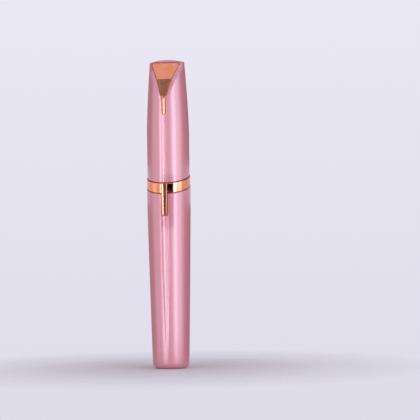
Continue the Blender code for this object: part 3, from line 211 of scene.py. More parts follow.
# %% Rose gold
gold, tree, shader = new_material("rose_gold_plate", "#F09D77", 0.14, 1.0)
waves = pattern(tree, 3.0, detail=1.0)
vary_color(tree, shader, waves.outputs["Fac"], "#EB966E", "#F3A37F")
polish = pattern(tree, 0.4, stretch=(1, 1, 4), detail=3.0)
vary_roughness(tree, shader, polish.outputs["Fac"], 0.10, 0.19)
emboss(tree, shader, waves.outputs["Fac"], 0.03, 0.5)
print(gold.name)

# %% [markdown]
# ## Inner plastics, rubber and lens
#
# Inside, nothing is lacquered. The plain mouldings show the fine texture of a spark-eroded tool, about 0.1
# mm grain, drawn at two or three times that. Silicone is duller and slightly mottled. The lens and the
# diode are clear.


# %% Plastics
def moulded(name, base, dark, roughness, grain=0.25, height=0.01, **sockets):
    """A moulded plastic or rubber: a slightly uneven colour, and the fine matt grain of its tool."""
    made, tree, shader = new_material(name, base, roughness, **sockets)
    tone = pattern(tree, 4.0)
    vary_color(tree, shader, tone.outputs["Fac"], dark, base)
    texture = pattern(tree, grain)
    vary_roughness(tree, shader, texture.outputs["Fac"], roughness - 0.06, roughness + 0.08)
    emboss(tree, shader, texture.outputs["Fac"], height, 0.4)
    return made


neck_plastic = moulded("moulded_rose_abs", "#E6BFC2", "#DFB4B8", 0.38)
white_plastic = moulded("moulded_white_abs", "#E9E8E4", "#DEDDD8", 0.42)
black_plastic = moulded("moulded_black_acetal", "#141314", "#0C0B0C", 0.48, specular_ior_level=0.3)
silicone = moulded("silicone_rubber", "#3A3838", "#2B2929", 0.62, grain=0.4)
ceramic = moulded("glazed_ceramic", "#8C8474", "#7A7262", 0.3)
insulation = moulded("extruded_pvc", "#B8201C", "#A01814", 0.42)
clear_lens = moulded(
    "clear_acrylic", "#F2F5F8", "#EAF0F4", 0.12, height=0.002, transmission_weight=0.85, ior=1.49
)
led_resin = moulded(
    "cast_epoxy", "#F3EFC4", "#EBE3AE", 0.14, height=0.002, transmission_weight=0.5, ior=1.54
)
print("eight mouldings")

# %% [markdown]
# ## Inner metals
#
# Rolled and plated sheet shows faint lines along the rolling, a drawn motor can shows them round it, and
# sintered bronze is a sponge of tiny pressed grains. One function covers them: a base, a grain size and how
# far it stretches.


# %% Metals
def metal(name, base, dark, roughness, grain, stretch=(1, 1, 1), height=0.004):
    """A bare or plated metal with a grain that may be stretched along its working direction."""
    made, tree, shader = new_material(name, base, roughness, 1.0)
    lines = pattern(tree, grain, stretch=stretch, detail=3.0)
    vary_color(tree, shader, lines.outputs["Fac"], dark, base)
    vary_roughness(tree, shader, lines.outputs["Fac"], roughness - 0.07, roughness + 0.09)
    emboss(tree, shader, lines.outputs["Fac"], height, 0.4)
    return made


nickel = metal("bright_nickel", "#D6D1C8", "#C4BFB6", 0.24, 0.3, (1, 1, 5))
spring_brass = metal("rolled_brass", "#D9AE62", "#C79A4E", 0.28, 0.3, (1, 1, 5))
can_steel = metal("zinc_plated_steel", "#C3C6C8", "#B0B4B8", 0.3, 0.25, (1, 1, 6))
bronze = metal("sintered_bronze", "#A8804C", "#8C6838", 0.46, 0.2, height=0.01)
blade_steel = metal("ground_stainless_steel", "#D2D4D6", "#BDC0C4", 0.2, 0.2, (5, 5, 1))
ferrite = metal("pressed_ferrite", "#4A4A4E", "#3C3C40", 0.58, 0.2, height=0.01)
copper = metal("enamelled_copper", "#C26A3A", "#A8542A", 0.3, 0.25, (1, 1, 8), 0.02)
print("seven metals")

# %% [markdown]
# ## Cell sleeve and circuit board
#
# The cell wears a shrunk foil sleeve: a plain band of colour with a lighter band at the positive end, and
# no print. Two height ramps place the lighter band and the nub on top, which is bare metal. The board is
# green solder mask over a woven laminate, whose threads of about 0.5 mm just show through.

# %% Cell sleeve and board
BAND_LOW, NUB_LOW = 44.0, 53.55
sleeve, tree, shader = new_material("shrunk_foil_sleeve", "#4C586E", 0.24, 0.4, coat_weight=0.3)
place = add_node(tree, "ShaderNodeTexCoord")
axes = add_node(tree, "ShaderNodeSeparateXYZ", links={"Vector": place.outputs["Object"]})
band = add_node(
    tree, "ShaderNodeMapRange", {"From Min": (BAND_LOW - 0.1) * MM, "From Max": (BAND_LOW + 0.1) * MM},
    {"Value": axes.outputs["Z"]},
)
vary_color(tree, shader, band.outputs["Result"], "#4C586E", "#C9A46A")
bare = add_node(
    tree, "ShaderNodeMapRange",
    {"From Min": (NUB_LOW - 0.05) * MM, "From Max": (NUB_LOW + 0.05) * MM, "To Min": 0.4},
    {"Value": axes.outputs["Z"]},
)
tree.links.new(bare.outputs["Result"], shader.inputs["Metallic"])
wrinkle = pattern(tree, 1.2, stretch=(1, 1, 0.3))
vary_roughness(tree, shader, wrinkle.outputs["Fac"], 0.18, 0.34)
emboss(tree, shader, wrinkle.outputs["Fac"], 0.02, 0.4)

board_green, tree, shader = new_material("solder_mask_on_laminate", "#1F7A46", 0.34, coat_weight=0.4)
weave = pattern(tree, 0.5, kind="ShaderNodeTexVoronoi", distance="CHEBYCHEV", Randomness=0.15)
vary_color(tree, shader, weave.outputs["Distance"], "#1B6E3F", "#26894F")
vary_roughness(tree, shader, weave.outputs["Distance"], 0.3, 0.42)
emboss(tree, shader, weave.outputs["Distance"], 0.01, 0.5)
print(sleeve.name, board_green.name)

# %% [markdown]
# ## From a shape to a finished piece
#
# A shape drawn in bmesh is closed, its faces are turned outwards, and it goes from millimetres to metres.
# Then it rides on the body of the CAD node that it stands for, so it moves as that node does, and the node
# itself is hidden. Its edges are shaded smooth up to a set angle, and sharper ones stay crisp.

# %% Finishing helpers
SHARP_ANGLE = math.radians(34)
WELD = 0.002
slot_of = {row["node"]: row["material_slot"] for row in frame["record"]["subparts"]}
bodies = frame["record"]["behaviour"]["bodies"]
body_of_node = {node: body for body, nodes in bodies.items() for node in nodes}


def as_object(name, shape, material=None):
    """Turns a shape into an object in the scene, with its place in its mesh."""
    mesh = bpy.data.meshes.new(name)
    shape.to_mesh(mesh)
    shape.free()
    if material:
        mesh.materials.append(material)
    made = bpy.data.objects.new(name, mesh)
    bpy.context.collection.objects.link(made)
    return made


def finish_piece(node, shape, material, sharp=SHARP_ANGLE):
    """Makes a shape the finished look of a CAD node, on that node's body."""
    bmesh.ops.remove_doubles(shape, verts=shape.verts, dist=WELD)
    bmesh.ops.dissolve_degenerate(shape, edges=shape.edges, dist=WELD)
    bmesh.ops.recalc_face_normals(shape, faces=shape.faces)
    bmesh.ops.scale(shape, vec=(MM, MM, MM), verts=shape.verts)
    piece = as_object(f"{node}_dressed", shape, material)
    piece.data.shade_smooth()
    piece.data.set_sharp_from_angle(angle=sharp)
    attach(piece, body_of_node[node])
    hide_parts(node)
    print(f"{piece.name}: {len(piece.data.polygons)} faces")


print(len(body_of_node), "nodes to stand for")

# %% [markdown]
# ## Raw shapes
#
# Most pieces start as one of a few raw shapes: an outline turned round the pen's axis, a block bent round
# that axis, or a plain box. They are then rounded, raised, moved, cut or joined. Cutting is left to
# Blender's Boolean modifiers with the exact solver, which keeps thin walls and touching faces clean. The
# shapes that cut are only there for the cut, and are removed after it.


# %% Shape helpers
def turned(outline, steps):
    """Turns an outline of (radius, height) points round the axis. It closes on itself or on the axis."""
    shape = bmesh.new()
    points = [shape.verts.new((radius, 0, height)) for radius, height in outline]
    edges = [shape.edges.new(pair) for pair in zip(points, points[1:])]
    if all(radius > 0 for radius, height in outline):
        edges.append(shape.edges.new((points[-1], points[0])))
    bmesh.ops.spin(
        shape, geom=points + edges, cent=(0, 0, 0), axis=(0, 0, 1), angle=math.tau, steps=steps,
        use_merge=True,
    )
    bmesh.ops.remove_doubles(shape, verts=shape.verts, dist=WELD)
    bmesh.ops.recalc_face_normals(shape, faces=shape.faces)
    return shape


def soften(shape, width, segments=2, above=math.radians(35)):
    """Rounds the shape's sharp edges a little, as every moulded or plated edge is."""
    edges = [edge for edge in shape.edges if edge.is_manifold and edge.calc_face_angle() > above]
    bmesh.ops.bevel(
        shape, geom=edges, offset=width, offset_type="OFFSET", segments=segments, profile=0.5,
        affect="EDGES", clamp_overlap=True, material=-1,
    )
    return shape


def raised(shape, faces, place):
    """Extrudes faces into a solid and lays each new point where place puts it."""
    grown = bmesh.ops.extrude_face_region(shape, geom=faces, use_keep_orig=True)
    for item in grown["geom"]:
        if isinstance(item, bmesh.types.BMVert):
            item.co = place(item.co)
    return shape


def sector(inner, outer, low, high, start, end, steps):
    """A block bent round the axis, between two angles in degrees from the front towards the right."""
    shape = bmesh.new()
    start, end = math.radians(start), math.radians(end)
    corners = [(inner, low), (outer, low), (outer, high), (inner, high)]
    points = [shape.verts.new((r * math.sin(start), -r * math.cos(start), z)) for r, z in corners]
    face = shape.faces.new(points)
    bmesh.ops.spin(
        shape, geom=[face, *face.edges, *points], cent=(0, 0, 0), axis=(0, 0, 1), angle=end - start,
        steps=steps,
    )
    bmesh.ops.recalc_face_normals(shape, faces=shape.faces)
    return shape


def block(low, high):
    """A box between two corners."""
    shape = bmesh.new()
    bmesh.ops.create_cube(shape, size=1)
    middle, size = (Vector(low) + Vector(high)) / 2, Vector(high) - Vector(low)
    placed = Matrix.Translation(middle) @ Matrix.Diagonal((*size, 1))
    bmesh.ops.transform(shape, matrix=placed, verts=shape.verts)
    return shape


def moved(shape, change):
    """Puts every point of a shape where change says."""
    for vert in shape.verts:
        vert.co = change(vert.co)
    return shape


def carved(shape, *tools, operation="DIFFERENCE"):
    """Cuts other shapes out of a shape with Boolean modifiers, or joins them, and gives back the result."""
    helpers = [as_object("carving", part) for part in (shape, *tools)]
    for tool in helpers[1:]:
        step = helpers[0].modifiers.new("cut", "BOOLEAN")
        step.solver, step.operation = "EXACT", operation
        step.object = tool
    bpy.context.view_layer.update()
    left = helpers[0].evaluated_get(bpy.context.evaluated_depsgraph_get())
    result = bmesh.new()
    result.from_mesh(left.to_mesh())
    for helper in helpers:
        mesh = helper.data
        bpy.data.objects.remove(helper)
        bpy.data.meshes.remove(mesh)
    return result


print("shape helpers ready")

# %% [markdown]
# ## A skin of rings and columns
#
# Cap and cover are thin shells that run from a pole outside, over the rim, to a pole inside. A real one is
# moulded between a cavity and a core, so each side can have its own form. Both are drawn the same way here:
# an upright line of points is spun full circle into a plain tube, whose points can be told apart by ring
# and column, and then each point is laid where that spot of the casing belongs. The columns crowd together
# along the front, where the groove and the insert's pocket need them, and spread out over the plain back.
# Left and right mirror each other.

# %% Ring and column skins
HALF = 70
FEATURE = 20


def smooth(value):
    """Eases from 0 to 1 as value goes from 0 to 1."""
    value = min(1, max(0, value))
    return value * value * (3 - 2 * value)


def blend_max(one, other, width):
    """The larger of two values, rounded over where they are within width of each other."""
    share = min(1, max(0, 0.5 + 0.5 * (one - other) / width))
    return other + (one - other) * share + width * share * (1 - share)


def skin(rings, place):
    """Spins a tube of rings and columns, and lays each point where place(ring, column) says."""
    shape = bmesh.new()
    line = [shape.verts.new((1, 0, ring)) for ring in range(rings)]
    edges = [shape.edges.new(pair) for pair in zip(line, line[1:])]
    bmesh.ops.spin(
        shape, geom=line + edges, cent=(0, 0, 0), axis=(0, 0, 1), angle=math.tau, steps=2 * HALF,
        use_merge=True,
    )
    for vert in shape.verts:
        turn = round(math.atan2(vert.co.x, -vert.co.y) / math.pi * HALF)
        point = place(round(vert.co.z), abs(turn))
        vert.co = Vector((-point.x if turn < 0 else point.x, point.y, point.z))
    return shape


def on_circle(column, start_x, radius):
    """The place of a plain column: evenly round the circle from where the features end to the back."""
    start = math.asin(start_x / radius)
    angle = start + (math.pi - start) * (column - FEATURE) / (HALF - FEATURE)
    return radius * math.sin(angle), radius * math.cos(angle)


print(f"{2 * HALF} columns, {2 * FEATURE} of them along the front")

# %% [markdown]
# ## Body cover
#
# The cover is a tapering cup with a broad rounded foot. A groove runs down its front: full depth under the
# collar, then ever shallower and narrower until it is lost above the foot. The rim leans with the collar,
# and its edges are rounded as the lacquer would round them. The flank of the groove follows an eased step,
# so light runs along it as a soft double line.

# %% Cover
GROOVE_DEPTH = 0.35
COVER_GROOVE_START, COVER_GROOVE_RUN = 6.5, 40.0
COVER_GROOVE_HALF, COVER_GROOVE_WIDENS = 0.15, 0.55
COVER_FLANK, COVER_FLANK_WIDENS = 0.5, 0.6
COVER_FRONT_REACH = 2.2
RIM_ROUND = 0.18
QUARTER = math.pi / 2


def cover_groove(z):
    """Half width of the groove's floor, the width of its flank, and its depth."""
    share = min(1, max(0, (z - COVER_GROOVE_START) / COVER_GROOVE_RUN))
    half = COVER_GROOVE_HALF + COVER_GROOVE_WIDENS * share
    return half, COVER_FLANK + COVER_FLANK_WIDENS * share, GROOVE_DEPTH * share


def cover_outside(radius, z, column):
    """A point on the cover's outer side. Its front columns follow the groove's floor, then its flank."""
    half, flank, depth = cover_groove(z)
    floor, slope = spread(-half, -0.08, 3), spread(-0.04, flank + 0.06, 11)
    offsets = [*floor, *slope, *spread(flank + 0.2, COVER_FRONT_REACH, 4)]
    crowding = min(1, radius / COVER_BASE_RADIUS)
    if column > FEATURE:
        x, y = on_circle(column, (half + offsets[FEATURE]) * crowding, radius)
        return Vector((x, -y, z))
    x = (half + offsets[column]) * crowding
    drop = depth * (1 - smooth((x - half) / flank))
    return Vector((x, -(math.sqrt(radius**2 - x**2) - drop), z))


def cover_rows():
    """The cover's profile as (radius, height, outside?), from the outer pole over the rim to the inner."""
    flat = cover_radius(COVER_EDGE) - COVER_EDGE
    rows = [(0, 0, True), (2.5, 0, True), (flat - 0.6, 0, True)]
    for angle in spread(0, QUARTER, 9):
        rows.append((flat + COVER_EDGE * math.sin(angle), COVER_EDGE * (1 - math.cos(angle)), True))
    heights = spread(COVER_EDGE, COVER_TOP - 2, 32)[1:] + [COVER_TOP - 1, COVER_TOP - 0.4]
    rows += [(cover_radius(z), z, True) for z in heights]
    outer = cover_radius(COVER_TOP)
    arc = [
        (RIM_ROUND * (1 - math.cos(angle)), COVER_TOP - RIM_ROUND * (1 - math.sin(angle)))
        for angle in spread(0, QUARTER, 3)
    ]
    rows += [(outer - inset, z, True) for inset, z in arc]
    rows += [(outer - CASING_WALL + inset, z, False) for inset, z in reversed(arc)]
    rows += [(cover_radius(z) - CASING_WALL, z, False) for z in spread(COVER_TOP - 0.6, 3.2, 12)]
    corner = cover_radius(3) - CASING_WALL
    rows += [(corner - 0.4, 2.3, False), (corner - 1.2, COVER_FLOOR, False), (0, COVER_FLOOR, False)]
    return rows


rows = cover_rows()


def cover_point(ring, column):
    """A point of the cover's skin."""
    radius, z, outside = rows[ring]
    if outside and radius > 0:
        return slant(cover_outside(radius, z, column))
    angle = math.pi * column / HALF
    return slant(Vector((radius * math.sin(angle), -radius * math.cos(angle), z)))


finish_piece("body_cover", skin(len(rows), cover_point), lacquer)

# %% [markdown]
# ## Where the cap's front is cut back
#
# The front of the cap is cut by two flat facets that meet in a crease, steep below and leaning back above,
# and the metal insert lies in them. Beside the insert runs a sloped lapel that meets the round casing in a
# soft ridge. The insert opens from a narrow tip with straight sides, faster above the crease than below it,
# and the corners of its top are rounded. Over that top the casing stands a little forward again, like a
# brow.

# %% Facets, lapels and insert outline
INSERT_TOP = 130.8
CREASE = 123.85
INSERT_TIP = 116.45
TAIL_END = 108.55
SIDE_TOP = 130.9
BED_GAP = 0.2
INSERT_THICKNESS = 0.7
TIP_HALF, CREASE_HALF, TOP_HALF = 1.0, 3.2, 6.25
LAPEL_LOW, LAPEL_WIDENS = 0.5, 1.3
LAPEL_STEP = 0.12
ARCH_HEIGHT, ARCH_WIDTH = 1.0, 1.5
SCOOP_RUN = 2
GROOVE_RIDGE = 1.1
RIDGE_ROUND, RIDGE_WIDENS = 0.17, 0.15
TIP_SUNK, CREASE_SUNK, TOP_FRONT = 0.3, 1.45, 2.65
tip_front, crease_front = cap_radius(INSERT_TIP) - TIP_SUNK, cap_radius(CREASE) - CREASE_SUNK


def lower_facet(z):
    """How far in front of the axis the lower facet's plane lies."""
    return tip_front + (crease_front - tip_front) * (z - INSERT_TIP) / (CREASE - INSERT_TIP)


def upper_facet(z):
    """The same for the facet that leans back."""
    return crease_front + (TOP_FRONT - crease_front) * (z - CREASE) / (INSERT_TOP - CREASE)


def facet(z):
    """How far in front of the axis the insert's face lies."""
    return min(lower_facet(z), upper_facet(z))


def insert_half(z):
    """Half the insert's width, corners left out: straight sides that open more above the crease."""
    if z < CREASE:
        return TIP_HALF + (CREASE_HALF - TIP_HALF) * max(0, (z - INSERT_TIP) / (CREASE - INSERT_TIP))
    return CREASE_HALF + (TOP_HALF - CREASE_HALF) * min(1, (z - CREASE) / (INSERT_TOP - CREASE))


def lapel_reach(z):
    """How far to the side the lapel ends. It widens from the tip to the crease and stays on the casing."""
    width = LAPEL_LOW + LAPEL_WIDENS * min(1, max(0, (z - INSERT_TIP) / (CREASE - INSERT_TIP)))
    return min(insert_half(z) + BED_GAP + width, cap_radius(z) - BED_GAP)


def arched(z, grown):
    """Half the width of the insert, or of its pocket when grown, with the corners of the top drawn in."""
    arch_low = INSERT_TOP - ARCH_HEIGHT
    past = min(1, max(0, (z - arch_low) / (ARCH_HEIGHT + grown)))
    return insert_half(z) + grown - ARCH_WIDTH * (1 - math.sqrt(1 - past**2))


def scoop_share(z):
    """How much of the scoop there is: none well below the insert's tip, all of it from the tip up."""
    return smooth((z - INSERT_TIP + SCOOP_RUN) / SCOOP_RUN)


def scoop_depth(x, z):
    """How far facets and lapels lie inside the round casing. The lapel starts a step before the facet."""
    z = max(z, INSERT_TIP)
    radius = cap_radius(z)
    narrow, wide = insert_half(z) + BED_GAP, lapel_reach(z)
    edge = math.sqrt(radius**2 - wide**2)
    step = facet(z) + LAPEL_STEP * smooth((x - narrow + LAPEL_STEP / 2) / LAPEL_STEP)
    front = step + (edge - step) * max(0, (x - narrow) / (wide - narrow))
    return math.sqrt(max(0, radius**2 - x**2)) - front


def ridge_at(z):
    """Where the lapel's ridge, or the groove's edge below it, runs, and how wide its rounding is."""
    share = scoop_share(z)
    return GROOVE_RIDGE + (lapel_reach(z) - GROOVE_RIDGE) * share, RIDGE_ROUND + RIDGE_WIDENS * share


print(f"insert {INSERT_TOP - INSERT_TIP:.1f} mm high, {2 * insert_half(INSERT_TOP):.1f} mm wide")

# %% [markdown]
# ## Crown, pocket and front of the cap
#
# The cap ends in a low dome that is tilted a little towards the front. The insert and its tail are let into
# a pocket, as a plated trim is in a real moulding, and the pocket follows from the insert's own sizes and
# one small gap. Beside the pocket, the casing's front is the round side with the groove cut into it below,
# and the facets and lapels above.

# %% Crown, pocket and front
CAP_GROOVE_HALF, CAP_GROOVE_FLANK = 0.72, 0.55
POCKET_TOP = INSERT_TOP + BED_GAP
CROWN_RISE, CROWN_ROUND = 1.1, 0.4
CROWN_TILT = math.tan(math.radians(4))
TAIL_HALF, TAIL_WIDENS = 0.55, 0.17
TAIL_BED = 1.1
PLAIN_HALF = 0.5
BLEND_LOW, BLEND_WIDENS = 0.03, 0.2
crown_flat = cap_radius(SIDE_TOP) - CROWN_ROUND


def crown_height(x, y):
    """The low dome over the cap, highest in its middle, rounded at its edge and tilted to the front."""
    out = math.hypot(x, y)
    if out < crown_flat:
        height = PEN_TOP - CROWN_RISE * (out / crown_flat) ** 2
    else:
        height = SIDE_TOP + math.sqrt(max(0, CROWN_ROUND**2 - (out - crown_flat) ** 2))
    return height + CROWN_TILT * y


def pocket_half(z):
    """Half the pocket's width, and how far its floor lies in front of the axis. None where it's full."""
    low = TAIL_END - BED_GAP
    if z > POCKET_TOP:
        return arched(POCKET_TOP, BED_GAP), None
    if z < low:
        return PLAIN_HALF, None
    if z < INSERT_TIP - BED_GAP:
        half = TAIL_HALF + BED_GAP + TAIL_WIDENS * (z - low) / (INSERT_TIP - low)
        rounded = min(1, (z - low) / half)
        return max(0.05, half * math.sqrt(1 - (1 - rounded) ** 2)), cap_radius(z) - TAIL_BED
    return arched(z, BED_GAP), facet(z) - INSERT_THICKNESS - BED_GAP


def cap_front(x, z):
    """How far in front of the axis the casing lies, x to the side: circle, groove, facets and lapels."""
    share = scoop_share(z)
    depth = GROOVE_DEPTH if z < INSERT_TIP + 1 else 0
    grooved = depth * (1 - smooth((x - CAP_GROOVE_HALF) / CAP_GROOVE_FLANK))
    width = BLEND_LOW + BLEND_WIDENS * share
    cut = blend_max(grooved, share * scoop_depth(x, z), width) if share > 0 else grooved
    return math.sqrt(max(0, cap_radius(z) ** 2 - x**2)) - max(0, cut)


print(f"pocket from {TAIL_END - BED_GAP:.2f} to {POCKET_TOP:.2f} mm")

# %% [markdown]
# ## Rings and columns of the cap
#
# The cap's rings start inside at the ceiling, run down the inner wall, round the slanted rim and up the
# outside, and close over the dome. In front, each ring steps down into the insert's pocket. Where the
# facets lean back, the rings of the front reach higher than those of the sides, so the same ring that ends
# the round side also follows the top edge of the facets, and the dome closes over both. How high each
# column's side reaches depends on where it meets the dome, so it is found in a few rounds of trying.

# %% Rings and columns
ARCH_START = CREASE + 0.15
BROW_HEIGHT = 0.35
TOP_RING = POCKET_TOP + BROW_HEIGHT + 0.01
EDGE_CHAMFER, CHAMFER_FADE = 0.16, 6
SETTLE_ROUNDS = 6
POCKET_SHARES = (0, 0.3, 0.6, 0.88, 1)
LAPEL_SHARES = (0, 0.06, 0.16, 0.3, 0.45, 0.6, 0.75, 0.88, 1)
POCKET = len(POCKET_SHARES)
RIDGE = POCKET + len(LAPEL_SHARES)


def brow(height):
    """How far up its rounded top the pocket is at this height, from 0 to 1."""
    return min(1, max(0, (height - INSERT_TOP + ARCH_HEIGHT) / (ARCH_HEIGHT + BED_GAP)))


def cap_column(column, height, z):
    """The sideways place of a front column, from the pocket's middle over wall and lapel to the ridge."""
    pocket = pocket_half(height)[0]
    ridge, rounding = ridge_at(min(z, SIDE_TOP))
    if column < POCKET:
        return pocket * POCKET_SHARES[column]
    if column < RIDGE:
        low = pocket + 0.02 + 0.8 * brow(height) * (1 - brow(height))
        high = max(low + 0.02, ridge - rounding)
        return low + (high - low) * LAPEL_SHARES[column - POCKET]
    low = max(pocket + 0.05, ridge - rounding)
    high = min(ridge + rounding, cap_radius(z) * 0.992)
    return low + (high - low) * (column - RIDGE + 1) / (FEATURE - RIDGE + 1)


def cap_side(column, height, stretch=1.0):
    """A point on the cap's outer side. Its ring reaches height in front, and less at the sides by stretch."""
    z = height
    if column >= POCKET and height <= POCKET_TOP:
        z += BROW_HEIGHT * brow(height) ** 2
    if z > ARCH_START:
        z = ARCH_START + (z - ARCH_START) * stretch
    if column > FEATURE:
        x, y = on_circle(column, cap_column(FEATURE, height, z), cap_radius(z))
        return Vector((x, -y, z))
    x = cap_column(column, height, z)
    floor = pocket_half(height)[1]
    if column < POCKET and floor is not None:
        return Vector((x, -floor, z))
    return Vector((x, -cap_front(x, z), z))


def chamfer(column):
    """The chamfer on the front of the crown's edge, which fades out towards the sides."""
    return EDGE_CHAMFER * smooth((FEATURE - column) / CHAMFER_FADE)


def side_stretch(column):
    """How high a column's side reaches, where it meets the dome, against the front's."""
    full = TOP_RING - ARCH_START
    if column <= POCKET:
        return 1.0
    height = SIDE_TOP
    for _ in range(SETTLE_ROUNDS):
        top = cap_side(column, TOP_RING, (height - ARCH_START) / full)
        height = crown_height(top.x, top.y) if column <= FEATURE else SIDE_TOP + CROWN_TILT * top.y
        height -= chamfer(column)
    return (height - ARCH_START) / full


stretches = [side_stretch(column) for column in range(HALF + 1)]
tail_rings = [TAIL_END - BED_GAP + step for step in (-0.02, 0.01, 0.06, 0.16, 0.32, 0.55, 0.8)]
arch_low, arch_rise = INSERT_TOP - ARCH_HEIGHT, ARCH_HEIGHT + BED_GAP
arch_rings = [arch_low + arch_rise * math.sin(a) for a in spread(0, QUARTER, 9)]
side_rings = [CAP_RIM + 0.5, *spread(CAP_RIM + 1.5, 107, 14), *tail_rings]
side_rings += [*spread(110, 114, 4), *spread(114.5, 116.2, 5), 116.24, 116.26, 116.45, 116.8, 117.3]
side_rings += [*spread(118, 123.2, 6), 123.6, CREASE, ARCH_START, *spread(124.8, 128.9, 6)]
side_rings += [*arch_rings[:-1], POCKET_TOP, TOP_RING]
print(len(side_rings), "rings up the side")

# %% [markdown]
# ## Skin of the cap
#
# The inside is a plain core: round, with its front trimmed parallel to the facets so that the wall stays
# even. A wall is measured square to its facet, so its depth from front to back is longer by the secant of
# the facet's lean.

# %% Cap skin
CAP_CEILING = 129.5
CAP_WALL = 1.25
BACKING, LOWER_SECANT, UPPER_SECANT = 1.65, 1.024, 1.142
CEILING_CENTRE = 2.0
CEILING_SHARES = (0, 0.3, 0.65, 0.9)
CROWN_CENTRE = Vector((0, 2.2, 0))
CROWN_INSETS = (0.01, 0.035, 0.075, 0.13, 0.2, 0.29, 0.4)
CROWN_SHARES = (0.85, 0.65, 0.42, 0.2, 0)
inside_heights = [129.4, *spread(128.9, 110, 12), *spread(107, 84, 8), CAP_RIM + 0.4]


def inner_point(column, z, share=1.0):
    """A point inside the cap: round, and flat behind the facets. A share under 1 lies on the ceiling."""
    radius = min(CAP_INNER, cap_radius(z) - CAP_WALL)
    angle = math.pi * column / HALF
    x, front = radius * math.sin(angle), radius * math.cos(angle)
    trimmed = min(lower_facet(z) - BACKING * LOWER_SECANT, upper_facet(z) - BACKING * UPPER_SECANT)
    point = Vector((x, -min(front, trimmed), z))
    middle = Vector((0, CEILING_CENTRE, z))
    return middle + (point - middle) * share


def rim_point(column, inside, angle):
    """A point on the rounded rim. The outer half keeps the groove."""
    z = CAP_RIM + RIM_ROUND * (1 - math.sin(angle))
    inset = RIM_ROUND * (1 - math.cos(angle))
    if inside:
        turn = math.pi * column / HALF
        return Vector(((CAP_INNER + inset) * math.sin(turn), -(CAP_INNER + inset) * math.cos(turn), z))
    point = cap_side(column, z)
    flat = Vector((point.x, point.y, 0))
    return point - flat.normalized() * inset


def crown_point(column, inset, share):
    """A point on the dome: inset from the top edge by a distance, then a share of the rest to the centre."""
    edge = cap_side(column, TOP_RING, stretches[column])
    flat = Vector((edge.x, edge.y, 0))
    start = flat + (CROWN_CENTRE - flat).normalized() * (inset + chamfer(column))
    spot = CROWN_CENTRE + (start - CROWN_CENTRE) * share
    return Vector((spot.x, spot.y, crown_height(spot.x, spot.y)))


cap_rings = [lambda c, s=s: inner_point(c, CAP_CEILING, s) for s in CEILING_SHARES]
cap_rings += [lambda c, z=z: inner_point(c, z) for z in inside_heights]
cap_rings += [lambda c, a=a: rim_point(c, True, a) for a in spread(0, QUARTER, 3)]
cap_rings += [lambda c, a=a: rim_point(c, False, a) for a in spread(QUARTER, 0, 3)]
cap_rings += [lambda c, h=h: cap_side(c, h, stretches[c]) for h in side_rings]
cap_rings += [lambda c, d=d: crown_point(c, d, 1) for d in CROWN_INSETS]
cap_rings += [lambda c, s=s: crown_point(c, CROWN_INSETS[-1], s) for s in CROWN_SHARES]
finish_piece("cap_shell", skin(len(cap_rings), lambda ring, column: slant(cap_rings[ring](column))), lacquer)

# %% [markdown]
# ## Insert
#
# The insert is cast and plated: one plate bent along the crease, with a thin crowned tail that runs down
# the groove. A grid is laid on the facets and thickened backwards. Its outer rows and columns lie close
# together and fall back on a small arc, which rounds the edge all the way round. The crease itself stays
# crisp, because that is what splits the reflection into a bright and a dark field.

# %% Insert
INSERT_CREASE_SHARP = math.radians(14)
INSERT_EDGE = 0.15
EDGE_STEPS = (0, 0.02, 0.06, 0.15)
INSERT_COLUMNS, PLAIN_COLUMNS = 8, 5
TIP_ROUND = 0.4
TAIL_TOP, TAIL_SUNK, TAIL_CROWN, TAIL_THICKNESS = 115.9, 0.4, 0.22, 0.5
insert_rows = [*(108.55, 108.58, 108.68, 108.85, 109.1, 110.5, 112, 113.5, 115), TAIL_TOP]
insert_rows += [116.45, 116.6, 116.85, 117.5, *spread(118.2, 123.1, 6), CREASE, *spread(124.6, 129.0, 6)]
insert_rows += [INSERT_TOP - ARCH_HEIGHT + ARCH_HEIGHT * math.sin(a) for a in spread(0, QUARTER, 8)]


def insert_point(row, column):
    """A point of the insert's face, row by row up the cap, columns to both sides of its middle."""
    z = insert_rows[row]
    from_top, from_end = INSERT_TOP - z, z - TAIL_END
    if z <= TAIL_TOP:
        half = TAIL_HALF + TAIL_WIDENS * from_end / (INSERT_TIP - TAIL_END)
        rounded = min(1, from_end / half)
        half *= max(0.12, math.sqrt(1 - (1 - rounded) ** 2))
    else:
        half = arched(z, 0) * min(1, 0.78 + 0.22 * math.sqrt(min(1, (z - INSERT_TIP) / TIP_ROUND)))
    beside = INSERT_COLUMNS - abs(column)
    step = EDGE_STEPS[min(3, beside)] * min(1, half / TIP_ROUND)
    reach = half - step if beside < 3 else (half - step) * abs(column) / PLAIN_COLUMNS
    near = min(half - reach, from_top, from_end, INSERT_EDGE)
    back = INSERT_EDGE - math.sqrt(INSERT_EDGE**2 - (INSERT_EDGE - near) ** 2)
    front = cap_radius(z) - TAIL_SUNK + TAIL_CROWN * (1 - (reach / half) ** 2) if z <= TAIL_TOP else facet(z)
    return Vector((math.copysign(reach, column), back - front, z))


def insert_back(point):
    """Where a point of the face has its partner on the back: the tail is thinner than the plate."""
    z = point.z
    share = smooth((z - TAIL_TOP) / (INSERT_TIP - TAIL_TOP))
    thickness = TAIL_THICKNESS + (INSERT_THICKNESS - TAIL_THICKNESS) * share
    return Vector((point.x, thickness - (facet(z) if z >= INSERT_TIP else cap_radius(z) - TAIL_SUNK), z))


shape = bmesh.new()
bmesh.ops.create_grid(shape, x_segments=2 * INSERT_COLUMNS, y_segments=len(insert_rows) - 1, size=1)
for vert in shape.verts:
    row = round((vert.co.y + 1) / 2 * (len(insert_rows) - 1))
    vert.co = insert_point(row, round(vert.co.x * INSERT_COLUMNS))
finish_piece("cap_insert", raised(shape, shape.faces[:], insert_back), gold, sharp=INSERT_CREASE_SHARP)

